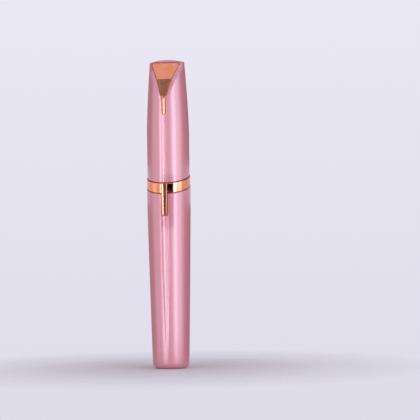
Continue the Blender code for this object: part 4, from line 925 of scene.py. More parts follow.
# %% [markdown]
# ## Collar
#
# The collar is a turned ring, plated and polished. Its section has small rounded edges, and the slot for
# the switch is punched through: the faces over it are taken out of both walls and the two holes are
# bridged. The ring is turned in steps of one degree and then by half a step, so that the slot ends on a
# column. At last it is leaned.

# %% Collar
COLLAR_RADIUS = 9.3
COLLAR_EDGE = 0.2
COLLAR_STEPS = 360
SLOT_LOW, SLOT_TOP = 78.7, 81.65
SLOT_START, SLOT_END = -8.5, 22.5

outside = [(COLLAR_RADIUS, z) for z in (COLLAR_LOW + 0.35, SLOT_LOW, *spread(79.4, 80.9, 3), SLOT_TOP, 81.8)]
corner_low = [
    (COLLAR_RADIUS - COLLAR_EDGE * (1 - math.sin(a)), COLLAR_LOW + COLLAR_EDGE * (1 - math.cos(a)))
    for a in spread(0, QUARTER, 4)
]
corner_top = [
    (COLLAR_RADIUS - COLLAR_EDGE * (1 - math.cos(a)), COLLAR_TOP - COLLAR_EDGE * (1 - math.sin(a)))
    for a in spread(0, QUARTER, 4)
]
heights_inside = (COLLAR_TOP, 81.9, SLOT_TOP, *spread(80.9, 79.4, 3), SLOT_LOW, 78.3, COLLAR_LOW)
inside = [(CAP_INNER, z) for z in heights_inside]
shape = turned([*corner_low, *outside, *corner_top, *inside], COLLAR_STEPS)
half_step = Matrix.Rotation(math.pi / COLLAR_STEPS, 3, "Z")
bmesh.ops.rotate(shape, verts=shape.verts, cent=(0, 0, 0), matrix=half_step)
in_slot = []
for face in shape.faces:
    middle = face.calc_center_median()
    angle = math.degrees(math.atan2(middle.x, -middle.y))
    upright = abs(face.normal.z) < 0.1
    if upright and SLOT_LOW < middle.z < SLOT_TOP and SLOT_START < angle < SLOT_END:
        in_slot.append(face)
bmesh.ops.delete(shape, geom=in_slot, context="FACES")
bmesh.ops.bridge_loops(shape, edges=[edge for edge in shape.edges if edge.is_boundary])
soften(shape, 0.1, above=math.radians(60))
finish_piece("collar_ring", moved(shape, slant), gold)

# %% [markdown]
# ## Switch pointer
#
# The pointer is the part the thumb feels: a smooth crowned bar with a round nose, lying over the collar and
# the top of the cover. Its cross-section is spun half round to make the nose, and the open end is drawn up
# to the collar's top edge. The stem behind it goes through the slot to the black carriage.

# %% Pointer
POINTER_SEAT = 9.65
POINTER_TIP, POINTER_TOP = 65.27, 79.07
NOSE = 1.15
POINTER_THICKNESS = 0.85
section = [(0, 0), (0, 0.14), (0.03, 0.28), (0.08, 0.42), (0.16, 0.56)]
section += [(0.27, 0.68), (0.4, 0.76), (0.56, 0.81), (0.75, 0.84)]
profile = [(0.0, 0.0), *[(NOSE - inset, lift) for inset, lift in section]]
profile += [(0.2, POINTER_THICKNESS), (0.0, POINTER_THICKNESS)]
widths = ((70, 1.22), (74, 1.31), (78, 1.38), (POINTER_TOP, 1.4))
shape = bmesh.new()
middle = POINTER_TIP + NOSE
points = [shape.verts.new((out, -POINTER_SEAT - lift, middle)) for out, lift in profile]
edges = [shape.edges.new(pair) for pair in zip(points, points[1:])]
bmesh.ops.spin(
    shape, geom=points + edges, cent=(0, -POINTER_SEAT, middle), axis=(0, 1, 0), angle=math.pi, steps=24
)
bmesh.ops.remove_doubles(shape, verts=shape.verts, dist=WELD)
before = NOSE
for height, half in widths:
    open_edges = [edge for edge in shape.edges if edge.is_boundary]
    grown = bmesh.ops.extrude_edge_only(shape, edges=open_edges)["geom"]
    for vert in grown:
        if isinstance(vert, bmesh.types.BMVert):
            vert.co = Vector((vert.co.x * half / before, vert.co.y, height))
    before = half
open_edges = [edge for edge in shape.edges if edge.is_boundary]
bmesh.ops.holes_fill(shape, edges=open_edges, sides=0)
soften(shape, 0.07, segments=3, above=math.radians(50))
stem = moved(sector(6.55, 10.05, 79.0, 81.35, -7, 7, 14), slant)
soften(stem, 0.08)
stem_mesh = bpy.data.meshes.new("stem")
stem.to_mesh(stem_mesh)
stem.free()
shape.from_mesh(stem_mesh)
bpy.data.meshes.remove(stem_mesh)
finish_piece("switch_slider", shape, gold)
print("nose spun from a profile of", len(profile), "points")

# %% [markdown]
# ## Rounded outlines
#
# Most of what is inside the pen is moulded or turned round its axis. Each such piece is an outline with its
# corners rounded, spun full circle. A corner is rounded by cutting back along both of its sides and laying
# a small arc between, which is what a moulding tool or a lathe leaves. What sits at the collar also leans
# with it, and it needs a ring of edges wherever the lean starts or ends.

# %% Outline helpers
FINE = 96
LEAN_KINKS = (
    COLLAR_LOW - SLANT_MARGIN - SLANT_RUN, COLLAR_LOW - SLANT_MARGIN,
    COLLAR_TOP + SLANT_MARGIN, COLLAR_TOP + SLANT_MARGIN + SLANT_RUN,
)


def eased(points, size, steps=3, closed=False):
    """Rounds the corners of a path. An open one keeps its ends."""
    points = [Vector(point) for point in points]
    result = []
    for index, point in enumerate(points):
        if not closed and index in (0, len(points) - 1):
            result.append(tuple(point))
            continue
        before, after = points[index - 1] - point, points[(index + 1) % len(points)] - point
        back = min(size, before.length * 0.45, after.length * 0.45)
        start, end = point + before.normalized() * back, point + after.normalized() * back
        for share in spread(0, 1, steps):
            result.append(tuple(start * (1 - share) ** 2 + point * 2 * share * (1 - share) + end * share**2))
    return result


def moulded_ring(outline, size, steps=3, sides=FINE):
    """A turned piece with rounded corners. An outline that touches the axis stays open there."""
    closed = all(radius > 0 for radius, height in outline)
    return turned(eased(outline, size, steps, closed), sides)


def leaned(shape):
    """Leans a shape with the collar, with a ring of edges wherever the lean starts or ends."""
    for kink in LEAN_KINKS:
        everything = [*shape.verts, *shape.edges, *shape.faces]
        bmesh.ops.bisect_plane(shape, geom=everything, plane_co=(0, 0, kink), plane_no=(0, 0, 1))
    return moved(shape, slant)


print("outline helpers ready")

# %% [markdown]
# ## Neck
#
# With the cap off, the neck shows: a barrel in the casing's colour without lacquer, a rounded shoulder, the
# black seal ring in its groove, and a lip that centres the cap. Its skirt goes down into the cover and
# snaps in by two small pockets. It is one moulding, so it is turned as one outline and leaned where the
# collar sits, and then the slot for the switch, the channel for the lamp's leads, the lamp's window and the
# pockets are cut.

# %% Neck and seal ring
NECK_RADIUS, NECK_BORE, NECK_RIM, NECK_TOP = 6.65, 5.45, 4.9, 103.0
SHOULDER = 6.0
SEAL_RADIUS, SEAL_HEIGHT, SEAL_WIRE = 6.58, 92.0, 0.32
LIP_RADIUS, LIP_TOP = 7.5, 83.3
SKIRT_RADIUS, SKIRT_BORE, SKIRT_LOW = 7.8, 6.6, 62.0
SOCKET_RADIUS, SOCKET_FLOOR, NECK_CEILING = 3.6, 98.4, 97.2
COUPLING_HOLE, SHELF = 1.55, 82.2
GROOVE_RADIUS, GROOVE_LOW, GROOVE_HIGH = 6.0, 91.43, 92.57


def shoulder_radius(z):
    """The neck's radius on its rounded shoulder."""
    drop = min(1, max(0, (NECK_TOP - z) / SHOULDER))
    return NECK_RIM + (NECK_RADIUS - NECK_RIM) * math.sqrt(1 - (1 - drop) ** 2)


shoulder = [
    (NECK_RIM + (NECK_RADIUS - NECK_RIM) * math.sin(a), NECK_TOP - SHOULDER * (1 - math.cos(a)))
    for a in spread(0, QUARTER, 18)
]
seal_groove = [(NECK_RADIUS, GROOVE_HIGH), (GROOVE_RADIUS, GROOVE_HIGH)]
seal_groove += [(GROOVE_RADIUS, GROOVE_LOW), (NECK_RADIUS, GROOVE_LOW)]
skirt_top = COLLAR_LOW - 0.25
lower = [(NECK_RADIUS, LIP_TOP), (LIP_RADIUS, LIP_TOP), (LIP_RADIUS, skirt_top), (SKIRT_RADIUS, skirt_top)]
lower += [(SKIRT_RADIUS, SKIRT_LOW), (SKIRT_BORE, SKIRT_LOW), (SKIRT_BORE, SHELF), (NECK_BORE, SHELF)]
socket = [(NECK_BORE, NECK_CEILING), (COUPLING_HOLE, NECK_CEILING)]
socket += [(COUPLING_HOLE, SOCKET_FLOOR), (SOCKET_RADIUS, SOCKET_FLOOR)]
outline = [*shoulder, *eased(seal_groove + lower + socket, 0.14, 2), (SOCKET_RADIUS, NECK_TOP)]
neck = leaned(turned(outline, 120))
slot = moved(sector(6.1, 8.5, SLOT_LOW - 0.2, SLOT_TOP + 0.2, SLOT_START - 1.2, SLOT_END + 1.2, 18), slant)
channel = sector(NECK_BORE - 1, NECK_BORE + 0.7, COLLAR_LOW, 96.0, -52.9, -32.1, 8)
window = block((-1.35, -NECK_RADIUS - 1, 96.7), (1.35, -4.35, 99.9))
pockets = [sector(7.5, 8.5, 65.2, 67.4, side - 12, side + 12, 10) for side in (90, -90)]
finish_piece("neck_housing", carved(neck, slot, channel, window, *pockets), neck_plastic)

around = spread(0, math.tau, 16)[:-1]
ring = [(SEAL_RADIUS + SEAL_WIRE * math.cos(a), SEAL_HEIGHT + SEAL_WIRE * math.sin(a)) for a in around]
finish_piece("neck_seal_ring", turned(ring, 128), silicone)

# %% [markdown]
# ## Work light
#
# A small lamp sits in the neck's shoulder: a clear lens that follows the shoulder's curve, and under it a
# diode with a flanged foot and a domed end. The lens starts as a grid laid on the shoulder and is thickened
# backwards. Two thin insulated leads run down a channel in the neck to the board. The bends of their paths
# are rounded like the corners of an outline, and a round bevel on a curve gives a wire its thickness.


# %% Shifting and wire helpers
def shifted(shape, *, turn=0.0, offset=(0, 0, 0)):
    """Turns a shape about the pen's axis, in degrees, and then shifts it."""
    change = Matrix.Translation(offset) @ Matrix.Rotation(math.radians(turn), 4, "Z")
    bmesh.ops.transform(shape, matrix=change, verts=shape.verts)
    return shape


def rod(path, radius):
    """A round wire along a path, as a curve with a round bevel."""
    curve = bpy.data.curves.new("rod", "CURVE")
    curve.dimensions = "3D"
    curve.bevel_depth, curve.bevel_resolution, curve.use_fill_caps = radius, 3, True
    line = curve.splines.new("POLY")
    line.points.add(len(path) - 1)
    for point, place in zip(line.points, path):
        point.co = (*place, 1)
    holder = bpy.data.objects.new("rod", curve)
    bpy.context.collection.objects.link(holder)
    bpy.context.view_layer.update()
    made = holder.evaluated_get(bpy.context.evaluated_depsgraph_get())
    shape = bmesh.new()
    shape.from_mesh(made.to_mesh())
    bpy.data.objects.remove(holder)
    bpy.data.curves.remove(curve)
    return shape


print("wire helpers ready")

# %% Lens, diode and leads
LENS_LOW, LENS_HIGH, LENS_HALF, LENS_BACK, LENS_SUNK = 96.95, 99.65, 1.1, 4.6, 0.02
LED_LOW, LED_NECK, LED_RADIUS, LED_FORWARD = 94.05, 95.65, 0.86, 4.2
LED_FOOT, LED_FLANGE = 1.0, 0.35
LEAD = 0.28
INNER_RUN, OUTER_RUN = (-3.466, -4.437), (-4.118, -3.84)
RUN_TOP, LEAD_TOP = 90.86, 93.75
shape = bmesh.new()
bmesh.ops.create_grid(shape, x_segments=8, y_segments=12, size=1)
for vert in shape.verts:
    z = LENS_LOW + (LENS_HIGH - LENS_LOW) * (vert.co.y + 1) / 2
    x = vert.co.x * LENS_HALF
    vert.co = Vector((x, LENS_SUNK - math.sqrt(shoulder_radius(z) ** 2 - x**2), z))
raised(shape, shape.faces[:], lambda point: Vector((point.x, -LENS_BACK, point.z)))
bmesh.ops.recalc_face_normals(shape, faces=shape.faces)
finish_piece("light_lens", soften(shape, 0.1, 3), clear_lens)

led_foot = [(0, LED_LOW), (LED_FOOT, LED_LOW), (LED_FOOT, LED_LOW + LED_FLANGE)]
led_foot += [(LED_RADIUS, LED_LOW + LED_FLANGE), (LED_RADIUS, LED_NECK)]
led_dome = [(LED_RADIUS * math.cos(a), LED_NECK + math.sin(a)) for a in spread(0, QUARTER, 8)[1:-1]]
diode = turned([*eased(led_foot, 0.06), *led_dome, (0, LED_NECK + 1)], 32)
finish_piece("led", shifted(diode, offset=(0, -LED_FORWARD, 0)), led_resin)

lead_paths = {
    "led_lead_inner": [
        (-3.08, -4.7, 70.16), (*INNER_RUN, 71.28), (*INNER_RUN, RUN_TOP),
        (0, -4.65, RUN_TOP), (0, -4.65, LEAD_TOP),
    ],
    "led_lead_outer": [
        (-3.08, -4.7, 69.04), (*OUTER_RUN, 70.16), (*OUTER_RUN, RUN_TOP),
        (0, -3.75, RUN_TOP), (0, -3.75, LEAD_TOP),
    ],
}
motor_lead = ((2.0, 0.32, 72.5), (2.0, 0.32, 71.02), (1.58, -1.99, 68.1), (1.58, -4.1, 67.82))
for side, sign in (("left", -1), ("right", 1)):
    lead_paths[f"motor_lead_{side}"] = [(sign * x, y, z) for x, y, z in motor_lead]
for node, path in lead_paths.items():
    finish_piece(node, rod(eased(path, 0.8, 5), LEAD), insulation)

# %% [markdown]
# ## Cap liner
#
# A white sleeve is pressed into the cap. It grips the seal ring, and its mouth is leaned like the cap's
# rim.

# %% Liner
LINER_BORE, LINER_RADIUS, LINER_LOW, LINER_TOP = 7.05, 7.55, 83.6, 98.6
liner = [(LINER_BORE, LINER_LOW), (LINER_RADIUS, LINER_LOW)]
liner += [(LINER_RADIUS, LINER_TOP), (LINER_BORE, LINER_TOP)]
finish_piece("cap_liner", leaned(moulded_ring(liner, 0.16, 3, 120)), white_plastic)

# %% [markdown]
# ## Lift-off head
#
# The head lifts off for cleaning. Its base has a flange and a spigot that stands in the neck, a bush for
# the carrier, and a barrel that the guard is pressed on. The guard is a drawn dome with ten slots, thin
# enough to lie on the skin. Fine hairs reach through the slots and meet the blades.

# %% Head base, bush and guard
HEAD_RADIUS, GUARD_INNER, GUARD_WALL, GUARD_EDGE = 4.6, 4.1, 0.5, 0.08
FLANGE_LOW, FLANGE_TOP, BARREL_TOP = 103.25, 106.85, 109.05
GUARD_LOW, DOME_LOW, DOME_RISE, HEAD_TOP = 107.1, 112.3, 3.0, 115.3
GUARD_SLOTS, SLOT_HALF, HUB_RADIUS = 10, 0.275, 1.1

base = [(2.4, 98.95), (3.3, 98.95), (3.3, FLANGE_LOW), (HEAD_RADIUS, FLANGE_LOW), (HEAD_RADIUS, 104.2)]
base += [(4.45, 104.35), (4.45, 104.65), (HEAD_RADIUS, 104.8), (HEAD_RADIUS, FLANGE_TOP)]
base += [(3.85, FLANGE_TOP), (3.85, BARREL_TOP), (2.4, BARREL_TOP)]
finish_piece("head_base", moulded_ring(base, 0.22, 3), gold)
bush = [(1.5, 104.25), (2.0, 104.25), (2.0, 108.85), (1.5, 108.85)]
finish_piece("head_bush", moulded_ring(bush, 0.1, 2, 48), bronze)

rise = spread(0, QUARTER, 14)
dome = [(HEAD_RADIUS - GUARD_EDGE, GUARD_LOW), (HEAD_RADIUS, GUARD_LOW + GUARD_EDGE)]
dome += [(HEAD_RADIUS * math.cos(a), DOME_LOW + DOME_RISE * math.sin(a)) for a in rise[:-1]]
dome.append((0, HEAD_TOP))
inner_rise = DOME_RISE - GUARD_WALL
hollow = [(0, HEAD_TOP - GUARD_WALL)]
hollow += [(GUARD_INNER * math.cos(a), DOME_LOW + inner_rise * math.sin(a)) for a in rise[-2::-1]]
hollow += [(GUARD_INNER, GUARD_LOW + GUARD_EDGE), (GUARD_INNER + GUARD_EDGE, GUARD_LOW)]
shell = turned([*hollow, *dome], 120)
bars = []
for index in range(GUARD_SLOTS):
    bar = block((HUB_RADIUS, -SLOT_HALF, DOME_LOW - 1.6), (HEAD_RADIUS + 1, SLOT_HALF, HEAD_TOP + 1))
    edges = [edge for edge in bar.edges if all(vert.co.x < HUB_RADIUS + 0.1 for vert in edge.verts)]
    edges = [edge for edge in edges if abs(edge.verts[0].co.z - edge.verts[1].co.z) > 1]
    bmesh.ops.bevel(
        bar, geom=edges, offset=0.2, offset_type="OFFSET", segments=4, profile=0.5, affect="EDGES",
        material=-1,
    )
    bars.append(shifted(bar, turn=360 * index / GUARD_SLOTS))
finish_piece("head_guard", carved(shell, *bars), gold)

# %% [markdown]
# ## Carrier and blades
#
# The carrier is a small turned foot with a six-sided socket, a stalk in the bush and a disc. On the disc
# stands a star of six thin ground blades that sweeps just under the dome. The star's plan is drawn once,
# raised, and then cut to the dome by keeping only what lies inside a dome of its own.

# %% Carrier and blades
CARRIER_LOW, SOCKET_TOP = 99.25, 103.25
BLADES, BLADE_HALF, BLADE_ROOT, BLADE_REACH = 6, 0.175, 0.9, 3.7
BLADE_LOW, BLADE_RISE = 110.75, 2.1
carrier = [(0, 110.55), (3.3, 110.55), (3.3, 109.55), (1.3, 109.55), (1.3, 103.65), (1.9, 103.65)]
carrier += [(1.9, CARRIER_LOW), (0, CARRIER_LOW)]
six = turned([(0, CARRIER_LOW - 1), (1.25, CARRIER_LOW - 1), (1.25, SOCKET_TOP), (0, SOCKET_TOP)], 6)
finish_piece("blade_carrier", carved(moulded_ring(carrier, 0.12, 3, 64), six), black_plastic)

plan = []
for index in range(BLADES):
    turn = Matrix.Rotation(math.tau * index / BLADES, 3, "Z")
    between = Matrix.Rotation(math.tau * (index + 0.5) / BLADES, 3, "Z")
    plan += [turn @ Vector((BLADE_REACH + 1, side, BLADE_LOW)) for side in (-BLADE_HALF, BLADE_HALF)]
    plan.append(between @ Vector((BLADE_ROOT, 0, BLADE_LOW)))
shape = bmesh.new()
face = shape.faces.new([shape.verts.new(point) for point in plan])
raised(shape, [face], lambda point: Vector((point.x, point.y, HEAD_TOP)))
bmesh.ops.recalc_face_normals(shape, faces=shape.faces)
sweep = [(0, BLADE_LOW - 1), (BLADE_REACH, BLADE_LOW - 1)]
sweep += [(BLADE_REACH * math.cos(a), DOME_LOW + BLADE_RISE * math.sin(a)) for a in rise[:-1]]
sweep.append((0, DOME_LOW + BLADE_RISE))
star = carved(shape, turned(sweep, FINE), operation="INTERSECT")
finish_piece("cutter_blades", star, blade_steel)

# %% [markdown]
# ## Cell, coil spring and contacts
#
# The cell is a drawn can in a foil sleeve, with a rolled edge at each end, a recessed plate below and a nub
# on top. A conical coil of nickel-plated wire presses it up. Two pieces of nickel-plated sheet carry the
# current: a round foot with a strip up the back of the cradle, and a round plate over the nub with a tab
# through the partition. Each is fused from a disc and flat strips.

# %% Cell, spring and sheet contacts
SHEET = 0.3
CELL_RADIUS, CELL_LOW, CELL_HIGH, NUB_RADIUS, NUB_TOP = 5.25, 10.0, 53.7, 1.9, 54.5
FOOT_LOW, PLATE_LOW = 4.9, 54.8
RISER_BACK, TAB_BACK = 6.05, -2.9
cell = [(0, CELL_LOW + 0.2), (3.9, CELL_LOW + 0.2), (4.1, CELL_LOW), (CELL_RADIUS, CELL_LOW)]
cell += [(CELL_RADIUS, CELL_HIGH), (4.55, CELL_HIGH), (4.35, CELL_HIGH - 0.25), (2.2, CELL_HIGH - 0.25)]
cell += [(NUB_RADIUS, CELL_HIGH - 0.1), (NUB_RADIUS, NUB_TOP), (0, NUB_TOP)]
finish_piece("battery_cell", moulded_ring(cell, 0.35, 4, 80), sleeve)

COIL_LOW, COIL_HIGH, COIL_FOOT, COIL_HEAD, COIL_TURNS, COIL_WIRE = 5.75, 9.45, 3.6, 2.4, 3.5, 0.25
coil = []
for share in spread(0, 1, 100):
    angle, radius = share * COIL_TURNS * math.tau, COIL_FOOT + (COIL_HEAD - COIL_FOOT) * share
    height = COIL_LOW + (COIL_HIGH - COIL_LOW) * share
    coil.append((radius * math.cos(angle), radius * math.sin(angle), height))
finish_piece("battery_spring", rod(coil, COIL_WIRE), nickel)


def sheet_disc(radius, low):
    """A round plate of contact sheet with softened edges."""
    return moulded_ring([(0, low), (radius, low), (radius, low + SHEET), (0, low + SHEET)], 0.06, 2, 64)


strip = block((-1, 0, FOOT_LOW + WELD), (1, RISER_BACK, FOOT_LOW + SHEET - WELD))
riser = block((-1 + WELD, RISER_BACK - SHEET, FOOT_LOW + 2 * WELD), (1 - WELD, RISER_BACK - WELD, 60.8))
negative = carved(sheet_disc(3.9, FOOT_LOW), strip, riser, operation="UNION")
finish_piece("negative_strip", negative, nickel)
tab = block((-1, TAB_BACK - SHEET, PLATE_LOW + WELD), (1, TAB_BACK, 61.1))
finish_piece("positive_contact", carved(sheet_disc(3.5, PLATE_LOW), tab, operation="UNION"), nickel)

# %% [markdown]
# ## Cradle
#
# The cradle is a white tube that holds everything in line: the cell between its foot plate and a partition,
# the board above it, and the motor on a shelf. It is cut open along the front, so that the cell can be
# pressed in and out, and slotted for the strip and the tab.

# %% Cradle
CRADLE_INNER, CRADLE_OUTER, CRADLE_LOW, CRADLE_TOP = 5.55, 6.3, 3.0, 80.9
BAY_LOW, BAY_TOP, PARTITION_TOP = 4.6, 55.4, 56.8
MOTOR_SHELF, SHELF_THICKNESS, SHELF_BORE = 73.2, 1.2, 3.2
BEYOND = CRADLE_OUTER + 1
shelf_low = MOTOR_SHELF - SHELF_THICKNESS
cradle = [(0, CRADLE_LOW), (CRADLE_OUTER, CRADLE_LOW), (CRADLE_OUTER, CRADLE_TOP)]
cradle += [(CRADLE_INNER, CRADLE_TOP), (CRADLE_INNER, MOTOR_SHELF), (SHELF_BORE, MOTOR_SHELF)]
cradle += [(SHELF_BORE, shelf_low), (CRADLE_INNER, shelf_low)]
cradle += [(CRADLE_INNER, PARTITION_TOP), (0, PARTITION_TOP)]
bay = turned([(0, BAY_LOW), (CRADLE_INNER, BAY_LOW), (CRADLE_INNER, BAY_TOP), (0, BAY_TOP)], FINE)
cell_window = sector(4.8, BEYOND, FOOT_LOW, PLATE_LOW, -62, 62, 36)
board_window = sector(2.2, BEYOND, PARTITION_TOP + 0.3, CRADLE_TOP + 1, -55, 55, 32)
strip_slot = block((-1.3, 5.25, BAY_LOW), (1.3, BEYOND, 61.1))
tab_slot = block((-1.3, -3.5, BAY_TOP - 1), (1.3, -2.6, PARTITION_TOP + 1))
tube = carved(moulded_ring(cradle, 0.25, 3), bay, cell_window, board_window, strip_slot, tab_slot)
finish_piece("battery_cradle", tube, white_plastic)

# %% [markdown]
# ## Motor and coupling
#
# The motor is a drawn and plated can with a rounded shoulder, closed below by a moulded cap with two
# terminals. Its shaft carries a black coupling, whose six-sided stub reaches into the carrier and lets the
# head lift off.

# %% Motor and coupling
CAN_RADIUS, CAN_BORE, CAN_LOW, CAN_TOP, CAN_HOLE = 5.1, 4.65, 74.4, 90.0, 1.75
SHAFT, BORE = 0.75, 0.95
SLEEVE_RADIUS, SLEEVE_LOW, SLEEVE_TOP = 2.0, 91.1, 96.6
MAGNET_LOW, MAGNET_LENGTH, MAGNET_HALF_TURN = 77.9, 7, 62
can = [(CAN_BORE, CAN_LOW), (CAN_RADIUS, CAN_LOW), (CAN_RADIUS, CAN_TOP), (CAN_HOLE, CAN_TOP)]
can += [(CAN_HOLE, CAN_TOP - 0.45), (CAN_BORE, CAN_TOP - 0.45)]
finish_piece("motor_can", moulded_ring(can, 0.4, 4), can_steel)
end_cap = [(BORE, 73.5), (4.9, 73.5), (4.9, 74.2), (4.45, 74.2), (4.45, 75.4), (BORE, 75.4)]
finish_piece("motor_end_cap", moulded_ring(end_cap, 0.12, 3, 64), white_plastic)
bush = [(BORE, 88.75), (1.55, 88.75), (1.55, 90.35), (BORE, 90.35)]
finish_piece("motor_bush", moulded_ring(bush, 0.1, 2, 40), bronze)
shaft = [(0, 73.8), (SHAFT, 73.8), (SHAFT, 94.5), (0, 94.5)]
finish_piece("motor_shaft", moulded_ring(shaft, 0.15, 2, 40), blade_steel)
outline = [(0, 94.8), (BORE, 94.8), (BORE, SLEEVE_LOW), (SLEEVE_RADIUS, SLEEVE_LOW)]
outline += [(SLEEVE_RADIUS, SLEEVE_TOP), (1.25, SLEEVE_TOP + 0.3), (0, SLEEVE_TOP + 0.3)]
stub = turned([(0, SLEEVE_TOP), (0.95, SLEEVE_TOP), (0.95, 102.75), (0.75, 102.95), (0, 102.95)], 6)
coupling = carved(moulded_ring(outline, 0.12, 2, 48), stub, operation="UNION")
finish_piece("drive_coupling", coupling, black_plastic)
for node, middle in (("motor_magnet_front", 0), ("motor_magnet_rear", 180)):
    start, end = middle - MAGNET_HALF_TURN, middle + MAGNET_HALF_TURN
    magnet = sector(3.65, 4.45, MAGNET_LOW, MAGNET_LOW + MAGNET_LENGTH, start, end, 40)
    finish_piece(node, soften(magnet, 0.1), ferrite)

# %% [markdown]
# ## Switch parts behind the collar
#
# Behind the slot lies the black carriage that the pointer's stem is pressed into. A brass wiper on its back
# slides over the board, and a nickel-plated leaf spring gives the switch its two clicks. Wiper and leaf are
# thin bent strips whose CAD shapes are right, so a copy of each is merged and only its edges are rounded.


# %% Copies of CAD shapes
def refined(node, width=0.08, segments=2):
    """A copy of a CAD node's mesh in millimetres, its flat faces made whole and its edges rounded."""
    shape = bmesh.new()
    shape.from_mesh(frame["nodes"][node].data)
    bmesh.ops.scale(shape, vec=(1 / MM, 1 / MM, 1 / MM), verts=shape.verts)
    bmesh.ops.remove_doubles(shape, verts=shape.verts, dist=WELD)
    bmesh.ops.dissolve_limit(shape, angle_limit=math.radians(1), verts=shape.verts, edges=shape.edges)
    return soften(shape, width, segments)


print("copy helper ready")

# %% Carriage, wiper and leaf
carriage = sector(5.75, 6.35, 77.6, 81.8, -30, 30, 32)
finish_piece("switch_carriage", soften(moved(carriage, slant), 0.12), black_plastic)
for node, finish in (("contact_wiper", spring_brass), ("detent_spring", nickel)):
    finish_piece(node, refined(node, 0.05), finish)

# %% [markdown]
# ## Board and terminals
#
# The board, its two chips and the motor's terminals are small and flat, and their CAD shapes are right too.
# They are copied the same way, with a slightly larger rounding, because their edges are thicker.

# %% Board, chips and terminals
for node, finish in (
    ("circuit_board", board_green), ("board_driver", black_plastic), ("board_resistor", ceramic),
    ("motor_terminal_left", nickel), ("motor_terminal_right", nickel),
):
    finish_piece(node, refined(node), finish)

# %% [markdown]
# ## A finish for every slot
#
# One node keeps its CAD mesh: the motor's armature, which never shows inside its can. It takes the finish
# of its material slot from the table below. So does every node that a finished piece stands for, in case it
# is looked at.

# %% Finish of each material slot
finish_of_slot = {
    "rose_lacquer": lacquer,
    "rose_gold": gold,
    "pale_rose_abs": neck_plastic,
    "white_abs": white_plastic,
    "black_acetal": black_plastic,
    "resistor_body": ceramic,
    "silicone": silicone,
    "clear_lens": clear_lens,
    "led_resin": led_resin,
    "wire_insulation": insulation,
    "nickel_plate": nickel,
    "spring_brass": spring_brass,
    "cell_wrap": sleeve,
    "board_laminate": board_green,
    "zinc_steel": can_steel,
    "sintered_bronze": bronze,
    "ferrite": ferrite,
    "enamelled_copper": copper,
    "blade_steel": blade_steel,
}
for node, item in frame["nodes"].items():
    item.data.materials.clear()
    item.data.materials.append(finish_of_slot[slot_of[node]])
print(len(finish_of_slot), "finishes")

# %% [markdown]
# ## Camera
#
# The photo looks at the pen from just right of its front, level with its middle, through a long lens. The
# pen stands left of the picture's middle, so the camera is moved sideways instead of turned, which keeps
# the pen's sides parallel. It leans by a little less than a degree, because the pen leans that much in the
# photo.

# %% Camera
VIEW_TURN = math.radians(11)
VIEW_DISTANCE = 0.95
VIEW_HEIGHT = 0.0676
VIEW_WIDTH = 0.1806
VIEW_ASIDE = 0.0176
VIEW_ROLL = math.radians(0.8)
SENSOR = 36

towards_camera = Vector((math.sin(VIEW_TURN), -math.cos(VIEW_TURN), 0))
to_the_right = Vector((math.cos(VIEW_TURN), math.sin(VIEW_TURN), 0))
camera_data = bpy.data.cameras.new("camera")
camera_data.sensor_width = SENSOR
camera_data.lens = SENSOR * VIEW_DISTANCE / VIEW_WIDTH
camera = bpy.data.objects.new("camera", camera_data)
bpy.context.collection.objects.link(camera)
looking = (-towards_camera).to_track_quat("-Z", "Y").to_matrix().to_4x4()
place = Vector((0, 0, VIEW_HEIGHT)) + towards_camera * VIEW_DISTANCE + to_the_right * VIEW_ASIDE
camera.matrix_world = Matrix.Translation(place) @ looking @ Matrix.Rotation(-VIEW_ROLL, 4, "Z")
bpy.context.scene.camera = camera
print(f"lens {camera_data.lens:.0f} mm at {VIEW_DISTANCE} m")

# %% [markdown]
# ## Light
#
# A satin metallic cylinder shows its light as upright bands, so each band is placed by the angle it comes
# from. A tall softbox to the right of the lens makes the broad highlight right of the groove, and a second
# one further round lets it fade out slowly. A wide one on the left lifts the left side, a weak front one
# and a fill soften the rest. Cards stand close to the pen on both sides and darken its edges. They leave a
# gap at the collar's height, because plated metal only glows with something bright to reflect. A grey card
# high up, left of the lens, tones down the insert's lower facet. A small dark one close in front of the
# pointer shades its middle and right, so that only its left edge shines: being so close, it covers much
# more of what the pointer mirrors than of what the lacquer does. Only reflections see the cards.
#
# In both tables an angle counts in degrees to the right of the camera's direction. A lamp has its angle,
# its rise, its distance, width and height in metres, its power in watts and its colour. A card has its
# angle, the angle it spans, its distance from the pen's axis, its lower and upper height and its shade.


# %% Light helpers
LIT_MIDDLE = Vector((0, 0, 0.066))


def from_view(degrees, rise=0.0):
    """The direction that lies this far right of the camera's, and this far up."""
    turn, rise = VIEW_TURN + math.radians(degrees), math.radians(rise)
    return Vector((math.sin(turn) * math.cos(rise), -math.cos(turn) * math.cos(rise), math.sin(rise)))


def softbox(name, degrees, rise, distance, width, height, power, color):
    """A rectangular lamp that faces the middle of the pen."""
    data = bpy.data.lights.new(name, "AREA")
    data.shape = "RECTANGLE"
    data.size, data.size_y = width, height
    data.energy = power
    data.color = linear(color)[:3]
    lamp = bpy.data.objects.new(name, data)
    bpy.context.collection.objects.link(lamp)
    out = from_view(degrees, rise)
    facing = out.to_track_quat("Z", "Y").to_matrix().to_4x4()
    lamp.matrix_world = Matrix.Translation(LIT_MIDDLE + out * distance) @ facing


